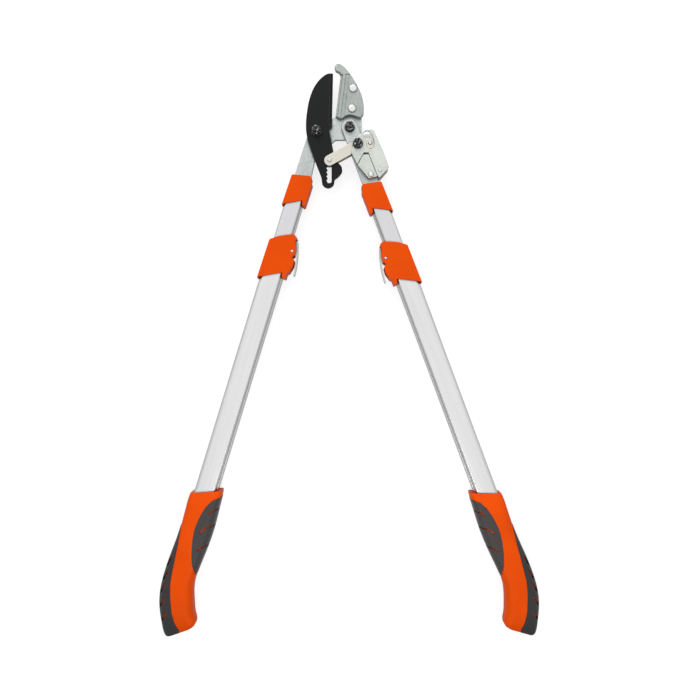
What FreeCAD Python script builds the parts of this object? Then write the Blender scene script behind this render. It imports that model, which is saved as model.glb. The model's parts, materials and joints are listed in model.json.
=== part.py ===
import FreeCAD, Part
import math
import os
import re

import Sketcher

# Telescopic ratchet anvil lopper, lying flat on its back.
# Working frame: main pivot at X = Y = 0, head towards +Y, floor at Z = 0.
# At the end everything is moved so that the origin is under the middle of the box.

SIZES = [
    # alias, millimetres or degrees, meaning
    ("mid_height", 15.0, "height of the tool's middle plane above the floor"),
    ("left_handle_angle", 17.0, "lean of the left handle"),
    ("right_handle_angle", 20.4, "lean of the right handle"),
    ("blade_pivot_x", -39.8, "blade pivot from the main pivot"),
    ("blade_pivot_y", -4.4, "blade pivot from the main pivot"),
    ("lever_pivot_x", 9.7, "link pivot on the right arm"),
    ("lever_pivot_y", -21.6, "link pivot on the right arm"),
    ("ratchet_pin_x", -24.1, "ratchet pin in the blade slot"),
    ("ratchet_pin_y", -40.3, "ratchet pin in the blade slot"),
    ("tail_pin_x", 24.5, "spring pin on the link tail"),
    ("tail_pin_y", -19.8, "spring pin on the link tail"),
    ("keeper_rivet_x", 25.3, "rivet that ties keeper, arm and bracket"),
    ("keeper_rivet_y", -58.2, "rivet that ties keeper, arm and bracket"),
    ("spring_anchor_x", 36.2, "rivet that holds the spring"),
    ("spring_anchor_y", -53.4, "rivet that holds the spring"),
    ("upper_rivet_x", 4.0, "anvil rivet near the tip"),
    ("upper_rivet_y", 45.7, "anvil rivet near the tip"),
    ("lower_rivet_x", 2.8, "anvil rivet near the pivot"),
    ("lower_rivet_y", 21.8, "anvil rivet near the pivot"),
    ("left_collar_reach", 55.5, "blade pivot to the top of the left collar"),
    ("right_collar_reach", 71.0, "main pivot to the top of the right collar"),
    ("blade_thickness", 4.0, "blade"),
    ("arm_thickness", 4.0, "right arm"),
    ("head_thickness", 4.3, "head plate and left arm"),
    ("head_gap", 0.2, "between the head plate and what swings over it"),
    ("anvil_thickness", 6.2, "anvil"),
    ("anvil_step", 1.3, "step along the face of the anvil"),
    ("anvil_channel", 0.7, "shallow channel beside the step"),
    ("link_thickness", 2.5, "ratchet link bars"),
    ("link_gap", 0.25, "between the link bars and the right arm"),
    ("link_width", 12.6, "ratchet link bars"),
    ("sheet_thickness", 2.0, "folded bracket"),
    ("bracket_gap", 13.6, "inside height of the folded bracket"),
    ("keeper_thickness", 1.5, "keeper plate"),
    ("bolt_diameter", 6.0, "pivot bolts"),
    ("pivot_clearance", 0.05, "radial play of bolts, pins and rivets in their holes"),
    ("nut_flats", 10.0, "nuts and bolt heads across flats"),
    ("nut_height", 5.2, "nuts"),
    ("bolt_head_height", 4.0, "bolt heads"),
    ("bolt_end", 1.0, "thread showing past a nut"),
    ("washer_diameter", 12.0, "washers"),
    ("washer_thickness", 1.0, "washers"),
    ("ratchet_pin_diameter", 3.4, "pin in the blade slot"),
    ("tail_pin_diameter", 3.0, "spring pin on the link tail"),
    ("rivet_diameter", 4.0, "bracket and tang rivets"),
    ("anvil_rivet_diameter", 5.0, "anvil rivet shanks"),
    ("anvil_rivet_head", 10.4, "anvil rivet heads"),
    ("spring_diameter", 4.4, "ratchet spring coil"),
    ("spring_wire", 0.9, "ratchet spring wire"),
    ("arm_width", 19.2, "right arm"),
    ("left_arm_width", 20.6, "left arm at its collar"),
    ("tang_length", 42.0, "arm tang inside the inner tube"),
    ("tang_clearance", 0.1, "above and below the tangs"),
    ("tang_side_clearance", 1.1, "beside the tangs, clear of the tube's round corners"),
    ("inner_outer_side", 11.0, "inner tube, axis to the outer side"),
    ("inner_body_side", 9.0, "inner tube, axis to where its key starts"),
    ("inner_key_side", 11.0, "inner tube, axis to the crest of its key"),
    ("inner_half_height", 7.5, "inner tube"),
    ("inner_key_half_height", 2.6, "inner tube key"),
    ("tube_wall", 1.5, "both tubes"),
    ("tube_slide_gap", 0.8, "between inner and outer tube"),
    ("guide_clearance", 0.15, "guide bush and end plug to the tube they slide on"),
    ("inner_tube_start", 6.4, "top of the inner tube below the collar top"),
    ("inner_tube_length", 410.0, "inner tube"),
    ("outer_tube_start", 112.5, "top of the outer tube below the collar top"),
    ("outer_tube_length", 390.0, "outer tube"),
    ("guide_bush_length", 10.5, "guide bush above the outer tube"),
    ("end_plug_length", 16.0, "plug that guides the end of the inner tube"),
    ("upper_collar_wall", 1.4, "upper collar over the inner tube"),
    ("clamp_collar_wall", 1.5, "clamp collar over the outer tube"),
    ("collar_clearance", 0.3, "collars round the tubes"),
    ("clamp_pin_v", 15.2, "clamp lever pin, axis to pin"),
    ("clamp_pin_u", 91.7, "clamp lever pin below the collar top"),
    ("clamp_pin_diameter", 3.2, "clamp lever pin"),
    ("clamp_eye_diameter", 5.8, "eye of the clamp lever"),
    ("lever_width", 10.4, "clamp lever along its pin"),
    ("lever_side_gap", 0.4, "clamp lever to the cheeks of the collar"),
    ("clamp_shoe_gap", 0.12, "beside the leaf between the lever's eye and the tube key"),
    ("grip_height", 30.0, "grips, over their flat lands"),
    ("grip_skin", 2.2, "soft pads on the grips"),
    ("grip_pad_rise", 0.4, "soft pads above the hard grip"),
    ("grip_fit_gap", 0.05, "between the outer tube and the grip"),
]

DOC = FreeCAD.newDocument("ratchet_lopper")
SHEET = DOC.addObject("Spreadsheet::Sheet", "sizes")
NODES = []
VECTOR = FreeCAD.Vector
UP = VECTOR(0, 0, 1)
LEFT = 1
RIGHT = -1
SIDES = (("left", LEFT), ("right", RIGHT))


def fill_sheet():
    """Writes every driving size to the sheet as a plain number with an alias."""
    for row, (alias, number, meaning) in enumerate(SIZES, start=1):
        SHEET.set(f"A{row}", meaning)
        SHEET.set(f"B{row}", str(number))
        SHEET.setAlias(f"B{row}", alias)
    last = len(SIZES) + 1
    SHEET.set(f"A{last}", "layer between the link bars that holds the right arm and the blade")
    SHEET.set(f"B{last}", "=max(arm_thickness; blade_thickness)")
    SHEET.setAlias(f"B{last}", "swing_layer")
    DOC.recompute()


def formula(text):
    """Turns size names into references to the sheet."""
    return re.sub(r"[a-z_]{3,}", lambda word: "sizes." + word.group(), text)


def size(text):
    """Number that a formula of size names gives."""
    return float(SHEET.evalExpression(formula(text)))


# Heights of the layers, as formulas of the sizes.
LAYER_BOTTOM = "(mid_height - swing_layer / 2)"
LAYER_TOP = "(mid_height + swing_layer / 2)"
SWING_BOTTOM = "(mid_height - arm_thickness / 2)"
SWING_TOP = "(mid_height + arm_thickness / 2)"
BLADE_BOTTOM = "(mid_height - blade_thickness / 2)"
BLADE_TOP = "(mid_height + blade_thickness / 2)"
HEAD_TOP = f"({LAYER_BOTTOM} - head_gap)"
HEAD_BOTTOM = f"({HEAD_TOP} - head_thickness)"
ANVIL_TOP = f"({HEAD_TOP} + anvil_thickness)"
LINK_FRONT_BOTTOM = f"({LAYER_TOP} + link_gap)"
LINK_FRONT_TOP = f"({LINK_FRONT_BOTTOM} + link_thickness)"
LINK_REAR_TOP = f"({LAYER_BOTTOM} - link_gap)"
LINK_REAR_BOTTOM = f"({LINK_REAR_TOP} - link_thickness)"
PLATE_FRONT_BOTTOM = "(mid_height + bracket_gap / 2)"
PLATE_FRONT_TOP = f"({PLATE_FRONT_BOTTOM} + sheet_thickness)"
PLATE_REAR_TOP = "(mid_height - bracket_gap / 2)"
PLATE_REAR_BOTTOM = f"({PLATE_REAR_TOP} - sheet_thickness)"
KEEPER_TOP = f"({PLATE_FRONT_BOTTOM} + keeper_thickness)"


# ---------------------------------------------------------------- outlines

def point(x, y):
    return VECTOR(x, y, 0)


def round_corner(before, corner, after, radius):
    """Start, middle and end of the arc that rounds a corner, as large as its edges let it be."""
    to_before = before - corner
    to_after = after - corner
    half = to_before.getAngle(to_after) / 2
    shorter = min(to_before.Length, to_after.Length)
    radius = min(radius, 0.49 * shorter * math.tan(half))
    if radius < 0.01 or half > math.radians(89.5):
        return corner, None, corner
    to_before.normalize()
    to_after.normalize()
    reach = radius / math.tan(half)
    bisector = to_before + to_after
    bisector.normalize()
    centre = corner + bisector * (radius / math.sin(half))
    return corner + to_before * reach, centre - bisector * radius, corner + to_after * reach


def outline_edges(vertices):
    """Lines and tangent arcs round a closed outline of (x, y, corner radius)."""
    corners = []
    count = len(vertices)
    for index, (x, y, radius) in enumerate(vertices):
        before = point(*vertices[index - 1][:2])
        after = point(*vertices[(index + 1) % count][:2])
        corners.append(round_corner(before, point(x, y), after, radius))
    edges = []
    for index, (start, middle, end) in enumerate(corners):
        if middle is not None:
            edges.append(Part.Arc(start, middle, end))
        following = corners[(index + 1) % count][0]
        if (following - end).Length > 0.001:
            edges.append(Part.LineSegment(end, following))
    return edges


def arc_slot_edges(centre, radius, half_width, start, end):
    """Curved slot round a centre, between two angles in degrees."""
    def at(distance, angle):
        turn = math.radians(angle)
        return centre + VECTOR(math.cos(turn), math.sin(turn), 0) * distance

    middle = (start + end) / 2
    cap = math.degrees(half_width / radius)
    outer = radius + half_width
    inner = radius - half_width
    return [
        Part.Arc(at(outer, start), at(outer, middle), at(outer, end)),
        Part.Arc(at(outer, end), at(radius, end + cap), at(inner, end)),
        Part.Arc(at(inner, end), at(inner, middle), at(inner, start)),
        Part.Arc(at(inner, start), at(radius, start - cap), at(outer, start)),
    ]


def handle_outline(side, vertices):
    """Outline given as (towards the inner side, down the handle, corner radius)."""
    return [(side * v, -u, radius) for v, u, radius in vertices]


# ---------------------------------------------------------------- features

def new_body(label):
    body = DOC.addObject("PartDesign::Body", label)
    body.Label = label
    return body


def new_sketch(body, role, height):
    """Sketch parallel to one of the body's own planes, at a height given as a formula."""
    sketch = body.newObject("Sketcher::SketchObject", body.Name + "_sketch")
    plane = next(item for item in body.Origin.OriginFeatures if item.Role == role)
    sketch.AttachmentSupport = (plane, [""])
    sketch.MapMode = "FlatFace"
    sketch.setExpression("AttachmentOffset.Base.z", formula(height))
    return sketch


def add_circle(sketch, x, y, diameter):
    """Circle whose diameter is a formula of the sizes."""
    circle = Part.Circle(point(x, y), UP, size(diameter) / 2)
    index = sketch.addGeometry(circle, False)
    constraint = sketch.addConstraint(Sketcher.Constraint("Diameter", index, size(diameter)))
    name = f"diameter_{index}"
    sketch.renameConstraint(constraint, name)
    sketch.setExpression("Constraints." + name, formula(diameter))


def add_pad(body, sketch, length):
    pad = body.newObject("PartDesign::Pad", body.Name + "_pad")
    pad.Profile = sketch
    pad.setExpression("Length", formula(length))


def add_pocket(body, sketch, length):
    """Pocket that starts at the sketch and goes along its normal, and must remove something."""
    DOC.recompute()
    before = body.Shape.Volume
    pocket = body.newObject("PartDesign::Pocket", body.Name + "_pocket")
    pocket.Profile = sketch
    pocket.Reversed = True
    pocket.setExpression("Length", formula(length))
    DOC.recompute()
    if body.Shape.Volume > before - 0.001:
        raise RuntimeError(f"a pocket of {body.Label} cuts nothing")


def add_drill(body, bottom, depth, holes):
    """Round holes of (x, y, diameter formula), from one level upwards."""
    sketch = new_sketch(body, "XY_Plane", bottom)
    for x, y, diameter in holes:
        add_circle(sketch, x, y, diameter)
    add_pocket(body, sketch, depth)


def add_fillet(body, radius, chosen):
    """Rounds the edges of the body that a test picks."""
    DOC.recompute()
    base = body.Tip
    picked = []
    for index, edge in enumerate(base.Shape.Edges, start=1):
        if chosen(edge):
            picked.append(f"Edge{index}")
    fillet = body.newObject("PartDesign::Fillet", body.Name + "_edges")
    fillet.Base = (base, picked)
    fillet.Radius = radius
    DOC.recompute()


def at_level(height):
    """Test for edges that lie flat at a height."""
    def test(edge):
        box = edge.BoundBox
        return abs(box.ZMin - height) < 0.001 and abs(box.ZMax - height) < 0.001
    return test


def both(first, second):
    return lambda edge: first(edge) or second(edge)


def keep(item, placement=None):
    """Counts an object as one of the separate pieces."""
    if placement is not None:
        item.Placement = placement
    NODES.append(item)
    return item


def plate(label, vertices, bottom, thickness, holes=()):
    """Flat plate with round holes."""
    body = new_body(label)
    sketch = new_sketch(body, "XY_Plane", bottom)
    sketch.addGeometry(outline_edges(vertices), False)
    for x, y, diameter in holes:
        add_circle(sketch, x, y, diameter)
    add_pad(body, sketch, thickness)
    return body


def turned(label, profile, x, y, placement=None):
    """Piece turned about a vertical axis from a half section of (radius, height, corner radius)."""
    body = new_body(label)
    sketch = new_sketch(body, "XZ_Plane", "0")
    sketch.addGeometry(outline_edges(profile), False)
    turning = body.newObject("PartDesign::Revolution", body.Name + "_turning")
    turning.Profile = sketch
    axis = next(item for item in body.Origin.OriginFeatures if item.Role == "Z_Axis")
    turning.ReferenceAxis = (axis, [""])
    turning.Angle = 360
    here = FreeCAD.Placement(point(x, y), FreeCAD.Rotation())
    body.Placement = here if placement is None else placement.multiply(here)
    return body


def group(label, members):
    """Like fasteners kept together in one node."""
    compound = DOC.addObject("Part::Compound", label)
    compound.Label = label
    compound.Links = members
    return keep(compound)


# ---------------------------------------------------------------- handle frame

def handle_lean(side):
    angle = size("left_handle_angle") if side == LEFT else -size("right_handle_angle")
    return -angle


def handle_axis(side):
    turn = math.radians(handle_lean(side))
    return VECTOR(math.sin(turn), -math.cos(turn), 0)


def handle_placement(side):
    """Frame at the top of the collar: Y up the handle, X to the right."""
    if side == LEFT:
        start = point(size("blade_pivot_x"), size("blade_pivot_y"))
        reach = size("left_collar_reach")
    else:
        start = point(0, 0)
        reach = size("right_collar_reach")
    return FreeCAD.Placement(start + handle_axis(side) * reach, FreeCAD.Rotation(UP, handle_lean(side)))


def in_head(side, vertices):
    """Handle outline carried over to the head's frame."""
    placement = handle_placement(side)
    moved = []
    for x, y, radius in handle_outline(side, vertices):
        spot = placement.multVec(point(x, y))
        moved.append((spot.x, spot.y, radius))
    return moved


# ---------------------------------------------------------------- fasteners

def hexagon(x, y, turn=0.0):
    """Hexagon over the nut size."""
    reach = size("nut_flats") / math.sqrt(3)
    corners = []
    for step in range(6):
        angle = math.radians(60 * step + turn)
        corners.append((x + reach * math.cos(angle), y + reach * math.sin(angle), 0))
    return corners


def break_corners(body, x, y, low, high, upwards):
    """Turns off the corners of a hexagon at its outer face."""
    flats = size("nut_flats") / 2
    corner = size("nut_flats") / math.sqrt(3)
    drop = (corner - flats) * 0.8
    outer = high if upwards else low
    inner = outer - drop if upwards else outer + drop
    sketch = new_sketch(body, "XZ_Plane", f"{-y}")
    rim = corner + 1.0
    sketch.addGeometry(outline_edges([
        (x + flats * 0.96, outer, 0), (x + rim, outer, 0), (x + rim, inner, 0), (x + corner, inner, 0),
    ]), False)
    groove = body.newObject("PartDesign::Groove", body.Name + "_corners")
    groove.Profile = sketch
    line = body.newObject("PartDesign::Line", body.Name + "_axis")
    line.Placement = FreeCAD.Placement(point(x, y), FreeCAD.Rotation())
    groove.ReferenceAxis = (line, [""])
    groove.Angle = 360


def nut(label, x, y, bottom, turn, upwards):
    """Plain nut."""
    body = new_body(label)
    sketch = new_sketch(body, "XY_Plane", bottom)
    sketch.addGeometry(outline_edges(hexagon(0, 0, turn)), False)
    add_circle(sketch, 0, 0, "bolt_diameter + 2 * pivot_clearance")
    add_pad(body, sketch, "nut_height")
    low = size(bottom)
    break_corners(body, 0, 0, low, low + size("nut_height"), upwards)
    return keep(body, FreeCAD.Placement(point(x, y), FreeCAD.Rotation()))


def ring(label, x, y, bottom, thickness, diameter, bore):
    """Round washer or sleeve."""
    body = new_body(label)
    sketch = new_sketch(body, "XY_Plane", bottom)
    add_circle(sketch, 0, 0, diameter)
    add_circle(sketch, 0, 0, bore)
    add_pad(body, sketch, thickness)
    body.Placement = FreeCAD.Placement(point(x, y), FreeCAD.Rotation())
    return body


def washer(label, x, y, bottom, thickness):
    return ring(label, x, y, bottom, thickness, "washer_diameter", "bolt_diameter + 2 * pivot_clearance")


def bolt(label, x, y, shank_low, shank_high, head_low, head_above, turn):
    """Hexagon bolt: a shank between two levels and a head at one end."""
    body = new_body(label)
    head = new_sketch(body, "XY_Plane", head_low)
    head.addGeometry(outline_edges(hexagon(0, 0, turn)), False)
    add_pad(body, head, "bolt_head_height")
    low = size(head_low)
    break_corners(body, 0, 0, low, low + size("bolt_head_height"), head_above)
    shank = new_sketch(body, "XY_Plane", shank_low)
    add_circle(shank, 0, 0, "bolt_diameter")
    add_pad(body, shank, f"{shank_high} - {shank_low}")
    return keep(body, FreeCAD.Placement(point(x, y), FreeCAD.Rotation()))


def rivet_profile(shank, head, low, high, rise):
    """Half section of a rivet with a low dome at each end."""
    radius = shank / 2
    rim = head / 2
    return [
        (0, low - rise, 0), (rim * 0.75, low - rise, rim), (rim, low, 0), (radius, low, 0),
        (radius, high, 0), (rim, high, 0), (rim * 0.75, high + rise, rim), (0, high + rise, 0),
    ]


# ---------------------------------------------------------------- head

def make_left_arm():
    """Head plate in one piece with the left arm and its tang."""
    arm = size("left_arm_width") / 2
    shoulder = in_head(LEFT, [(arm, 4, 0), (-arm, 4, 0)])
    outline = [
        (-45, 8, 8), (-21, 11.8, 3), (-15.6, 14.5, 2), (-10.4, 60, 3), (-13.6, 70.5, 2), (-8, 70.5, 6),
        (0, 60.5, 60), (8, 49, 60), (13, 37.5, 60), (15, 25.6, 30), (14.4, 12, 20), (14.4, -5.0, 5),
        (10.5, -9.5, 5), (5, -12.8, 8), (-1, -13.9, 12), (-17.2, -13.9, 1.5), (-41.4, -36.9, 8),
        *shoulder,
        (-50.8, -8, 14),
    ]
    bolt_hole = "bolt_diameter + 2 * pivot_clearance"
    rivet_hole = "anvil_rivet_diameter + 2 * pivot_clearance"
    body = plate("left_arm", outline, HEAD_BOTTOM, "head_thickness", [
        (0, 0, bolt_hole),
        (size("blade_pivot_x"), size("blade_pivot_y"), bolt_hole),
        (size("upper_rivet_x"), size("upper_rivet_y"), rivet_hole),
        (size("lower_rivet_x"), size("lower_rivet_y"), rivet_hole),
    ])
    tang_bottom = "(mid_height - inner_half_height + tube_wall + tang_clearance)"
    sketch = new_sketch(body, "XY_Plane", tang_bottom)
    sketch.addGeometry(outline_edges(in_head(LEFT, tang_outline(2))), False)
    add_pad(body, sketch, f"{HEAD_TOP} - {tang_bottom}")
    drill_tang(body, LEFT)
    add_fillet(body, 0.8, at_level(size(HEAD_TOP)))
    keep(body)


def tang_outline(start):
    """Tang that fits the inner tube."""
    outer = size("inner_outer_side - tube_wall - tang_side_clearance")
    inner = size("inner_body_side - tube_wall - tang_side_clearance")
    end = size("tang_length")
    return [(inner, start, 0), (inner, end, 3), (-outer, end, 3), (-outer, start, 0)]


# Distances of the tang rivets below the collar top.
TANG_RIVETS = (14.0, 28.0)


def tang_middle():
    return (size("inner_body_side") - size("inner_outer_side")) / 2


def drill_tang(body, side):
    holes = []
    for down in TANG_RIVETS:
        spot = in_head(side, [(tang_middle(), down, 0)])[0]
        holes.append((spot[0], spot[1], "rivet_diameter + 2 * pivot_clearance"))
    add_drill(body, "0", "2 * mid_height", holes)


def make_right_arm():
    """Straight forged arm with a round eye at the main pivot and a tang."""
    half = size("arm_width") / 2
    top = -size("right_collar_reach")
    outline = in_head(RIGHT, [
        (-half, top - half, half), (half, top - half, half), (half, 4, 0),
        *tang_outline(4), (-half, 4, 0),
    ])
    hole = "bolt_diameter + 2 * pivot_clearance"
    body = plate("right_arm", outline, SWING_BOTTOM, "arm_thickness", [
        (0, 0, hole),
        (size("lever_pivot_x"), size("lever_pivot_y"), hole),
        (size("keeper_rivet_x"), size("keeper_rivet_y"), "rivet_diameter + 2 * pivot_clearance"),
    ])
    drill_tang(body, RIGHT)
    add_fillet(body, 0.7, both(at_level(size(SWING_TOP)), at_level(size(SWING_BOTTOM))))
    keep(body)


# Ends of the straight cutting edge, width of the ground bevel and half the flat left at the edge.
EDGE_ROOT = (-21.1, 9.0)
EDGE_TIP = (-19.9, 64.9)
BEVEL_WIDTH = 3.6
EDGE_LAND = 0.1


def edge_x(y):
    """Place of the straight cutting edge at a distance up the blade."""
    share = (y - EDGE_ROOT[1]) / (EDGE_TIP[1] - EDGE_ROOT[1])
    return EDGE_ROOT[0] + share * (EDGE_TIP[0] - EDGE_ROOT[0])


def bevel_section(body, y, side):
    """Triangle that grinds one face of the blade down to its edge."""
    rise = size("blade_thickness") / 2 - EDGE_LAND
    slope = rise / BEVEL_WIDTH
    margin = 1.0
    middle = size("mid_height")
    face = rise + EDGE_LAND + margin
    corners = [
        (-BEVEL_WIDTH - margin / slope, face), (margin, face), (margin, EDGE_LAND - margin * slope),
    ]
    sketch = new_sketch(body, "XZ_Plane", f"{-y}")
    sketch.addGeometry(outline_edges([
        (edge_x(y) + across, middle + side * up, 0) for across, up in corners
    ]), False)
    return sketch


def grind_bevel(body, side):
    """Grinds one face along the whole edge and a little past both of its ends."""
    past = 5.5
    loft = body.newObject("PartDesign::SubtractiveLoft", "blade_bevel")
    loft.Profile = bevel_section(body, EDGE_ROOT[1] - past, side)
    loft.Sections = [bevel_section(body, EDGE_TIP[1] + past, side)]


def make_blade():
    """Curved blade with a straight edge ground from both faces and a toothed slot in its tail."""
    outline = [
        (*EDGE_TIP, 0.6), (-27.5, 64.2, 16), (-36, 57.6, 40), (-43.6, 47.2, 60), (-49.2, 31.5, 80),
        (-52.4, 10, 90), (-52.4, -9, 60), (-43.6, -35, 80), (-33.9, -60, 20), (-32.9, -69.6, 6.8),
        (-25.9, -73.7, 6.8), (-18.9, -69.6, 6.8), (-18.2, -62.8, 1.8), (-12.9, -58.8, 7), (-8.6, -53.1, 7),
        (-9.6, -46.4, 7), (-14.6, -42.4, 6), (-18.6, -33, 10), (-24.9, -2.4, 0.8), (-21.3, 0.6, 1),
        (*EDGE_ROOT, 0),
    ]
    body = plate("blade", outline, BLADE_BOTTOM, "blade_thickness", [
        (size("blade_pivot_x"), size("blade_pivot_y"), "bolt_diameter + 2 * pivot_clearance"),
    ])
    slot = new_sketch(body, "XY_Plane", BLADE_BOTTOM)
    slot.addGeometry(outline_edges(slot_outline()), False)
    add_pocket(body, slot, "blade_thickness")
    grind_bevel(body, 1)
    grind_bevel(body, -1)
    keep(body)


TOOTH_PITCH = 4.9
TOOTH_COUNT = 6


def slot_outline():
    """Slot with a smooth wall on its right and saw teeth on its left, hooked downwards."""
    right = size("ratchet_pin_x") + 2.3
    tip = right - 4.6
    valley = right - 6.5
    top = size("ratchet_pin_y") + 5.0
    bottom = top - TOOTH_PITCH * (TOOTH_COUNT + 0.4)
    outline = [(right, bottom, 2.4), (right, top, 2.4), (tip, top, 1.5)]
    for tooth in range(TOOTH_COUNT):
        start = top - 1.0 - TOOTH_PITCH * tooth
        outline.append((valley, start - 2.4, 0.9))
        outline.append((tip, start - 5.0, 0.5))
    outline.append((valley + 1.0, bottom + 0.6, 1.5))
    outline.append((tip + 0.6, bottom - 0.2, 1.2))
    return outline


def make_anvil():
    """Hooked anvil with a stepped strip along the face that the blade closes on."""
    outline = [
        (-15.2, 75.6, 2.5), (-18.5, 72, 2), (-17, 67.4, 1.5), (-11.3, 64.2, 1), (*ANVIL_FACE[1], 0.5),
        (*ANVIL_FACE[0], 1), (-11.2, 9.8, 1.5), (-3.5, 13.7, 6), (1, 14.6, 10), (8, 12.3, 8),
        (12.6, 10.8, 3), (16.5, 15.2, 3), (17, 25.6, 40), (14.2, 39, 60), (7.9, 51.8, 60),
        (1, 62.8, 60), (-6.1, 71.4, 30), (-11.5, 75.3, 6),
    ]
    hole = "anvil_rivet_diameter + 2 * pivot_clearance"
    body = plate("anvil", outline, HEAD_TOP, "anvil_thickness", [
        (size("upper_rivet_x"), size("upper_rivet_y"), hole),
        (size("lower_rivet_x"), size("lower_rivet_y"), hole),
    ])
    add_fillet(body, 1.0, outer_rim(size(ANVIL_TOP)))
    face = new_sketch(body, "XY_Plane", f"{ANVIL_TOP} - anvil_step")
    face.addGeometry(outline_edges(face_strip(-1.0, 2.8, 62.6)), False)
    add_pocket(body, face, "anvil_thickness")
    channel = new_sketch(body, "XY_Plane", f"{ANVIL_TOP} - anvil_channel")
    channel.addGeometry(outline_edges(face_strip(6.0, 10.6, 64.0)), False)
    add_pocket(body, channel, "anvil_thickness")
    keep(body)


def outer_rim(height):
    """Test for the outline's edges at a height, leaving the round holes out."""
    flat = at_level(height)

    def test(edge):
        return flat(edge) and len(edge.Vertexes) > 1
    return test


ANVIL_FACE = ((-16.9, 13.4), (-10.9, 62))


def face_strip(near, far, top):
    """Band parallel to the anvil's face, between two distances from it and up to a height."""
    low = point(*ANVIL_FACE[0])
    along = point(*ANVIL_FACE[1]) - low
    along.normalize()
    across = VECTOR(along.y, -along.x, 0)
    reach = (top - low.y) / along.y
    start = low - along * 8
    end = low + along * reach
    corners = [start + across * near, end + across * near, end + across * far, start + across * far]
    return [(corner.x, corner.y, 0) for corner in corners]


def make_anvil_rivets():
    profile = rivet_profile(size("anvil_rivet_diameter"), size("anvil_rivet_head"),
                            size(HEAD_BOTTOM), size(ANVIL_TOP), 1.6)
    members = []
    for name in ("upper", "lower"):
        spot = (size(name + "_rivet_x"), size(name + "_rivet_y"))
        members.append(turned(name + "_anvil_rivet", profile, *spot))
    group("anvil_rivets", members)


def make_pivot(name, x, y, top, turn):
    """Bolt from behind, washer and nut in front."""
    head_low = f"({HEAD_BOTTOM} - bolt_head_height)"
    nut_bottom = f"({top} + washer_thickness)"
    end = f"({nut_bottom} + nut_height + bolt_end)"
    bolt(name + "_bolt", x, y, HEAD_BOTTOM, end, head_low, False, turn)
    keep(washer(name + "_washer", x, y, top, "washer_thickness"))
    nut(name + "_nut", x, y, nut_bottom, turn, True)


def make_lever_pivot():
    """Bolt that carries the link bars, the right arm and the bracket."""
    x = size("lever_pivot_x")
    y = size("lever_pivot_y")
    nut_bottom = f"({PLATE_REAR_BOTTOM} - nut_height)"
    head_low = f"({PLATE_FRONT_TOP} + washer_thickness)"
    turn = 12
    bolt("lever_bolt", x, y, f"({nut_bottom} - bolt_end)", head_low, head_low, True, turn)
    keep(washer("lever_washer", x, y, PLATE_FRONT_TOP, "washer_thickness"))
    nut("lever_nut", x, y, nut_bottom, turn, False)
    front = washer("front_spacer", x, y, LINK_FRONT_TOP, f"{PLATE_FRONT_BOTTOM} - {LINK_FRONT_TOP}")
    rear = washer("rear_spacer", x, y, PLATE_REAR_TOP, f"{LINK_REAR_BOTTOM} - {PLATE_REAR_TOP}")
    group("lever_spacers", [front, rear])


def link_outline():
    """Cranked bar: round end at the ratchet pin, bend at the lever bolt, round tail at the spring pin."""
    pin = point(size("ratchet_pin_x"), size("ratchet_pin_y"))
    pivot = point(size("lever_pivot_x"), size("lever_pivot_y"))
    tail = point(size("tail_pin_x"), size("tail_pin_y"))
    half = size("link_width") / 2
    along_bar = pivot - pin
    along_bar.normalize()
    along_tail = tail - pivot
    along_tail.normalize()
    bar_side = VECTOR(-along_bar.y, along_bar.x, 0) * half
    tail_side = VECTOR(-along_tail.y, along_tail.x, 0) * half
    mitre = bar_side + tail_side
    mitre = mitre * (2 * half * half / mitre.dot(mitre))
    start = pin - along_bar * half
    end = tail + along_tail * half
    corners = [
        (start + bar_side, half), (start - bar_side, half), (pivot - mitre, 20),
        (end - tail_side, half), (end + tail_side, half), (pivot + mitre, 20),
    ]
    return [(corner.x, corner.y, radius) for corner, radius in corners]


def make_links():
    holes = [
        (size("ratchet_pin_x"), size("ratchet_pin_y"), "ratchet_pin_diameter + 2 * pivot_clearance"),
        (size("lever_pivot_x"), size("lever_pivot_y"), "bolt_diameter + 2 * pivot_clearance"),
        (size("tail_pin_x"), size("tail_pin_y"), "tail_pin_diameter + 2 * pivot_clearance"),
    ]
    for label, bottom in (("link_front", LINK_FRONT_BOTTOM), ("link_rear", LINK_REAR_BOTTOM)):
        body = plate(label, link_outline(), bottom, "link_thickness", holes)
        outer = size(LINK_FRONT_TOP) if label == "link_front" else size(LINK_REAR_BOTTOM)
        add_fillet(body, 0.4, outer_rim(outer))
        keep(body)


def make_pins():
    """Riveted pins at the two ends of the link, and the rivets of the bracket."""
    low = size(LINK_REAR_BOTTOM)
    high = size(LINK_FRONT_TOP)
    back = size(PLATE_REAR_BOTTOM)
    pin = size("ratchet_pin_diameter")
    tail = size("tail_pin_diameter")
    rivet = size("rivet_diameter")
    profiles = {
        "ratchet_pin": rivet_profile(pin, pin + 1.8, low, high, 0.7),
        "tail_pin": rivet_profile(tail, tail + 2.2, low, high, 0.9),
        "keeper_rivet": rivet_profile(rivet, rivet + 3.0, back, size(KEEPER_TOP), 1.1),
        "spring_anchor": rivet_profile(tail, tail + 1.4, back, size(PLATE_FRONT_TOP), 0.6),
    }
    for label, profile in profiles.items():
        keep(turned(label, profile, size(label + "_x"), size(label + "_y")))


def make_keeper_spacers():
    """Distance sleeves on the keeper rivet, in front of and behind the arm."""
    x = size("keeper_rivet_x")
    y = size("keeper_rivet_y")
    members = []
    for name, low, high in (("keeper_front", SWING_TOP, PLATE_FRONT_BOTTOM),
                            ("keeper_rear", PLATE_REAR_TOP, SWING_BOTTOM)):
        members.append(ring(name + "_spacer", x, y, low, f"{high} - {low}",
                            "rivet_diameter + 3.2", "rivet_diameter + 2 * pivot_clearance"))
    group("keeper_spacers", members)


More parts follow.
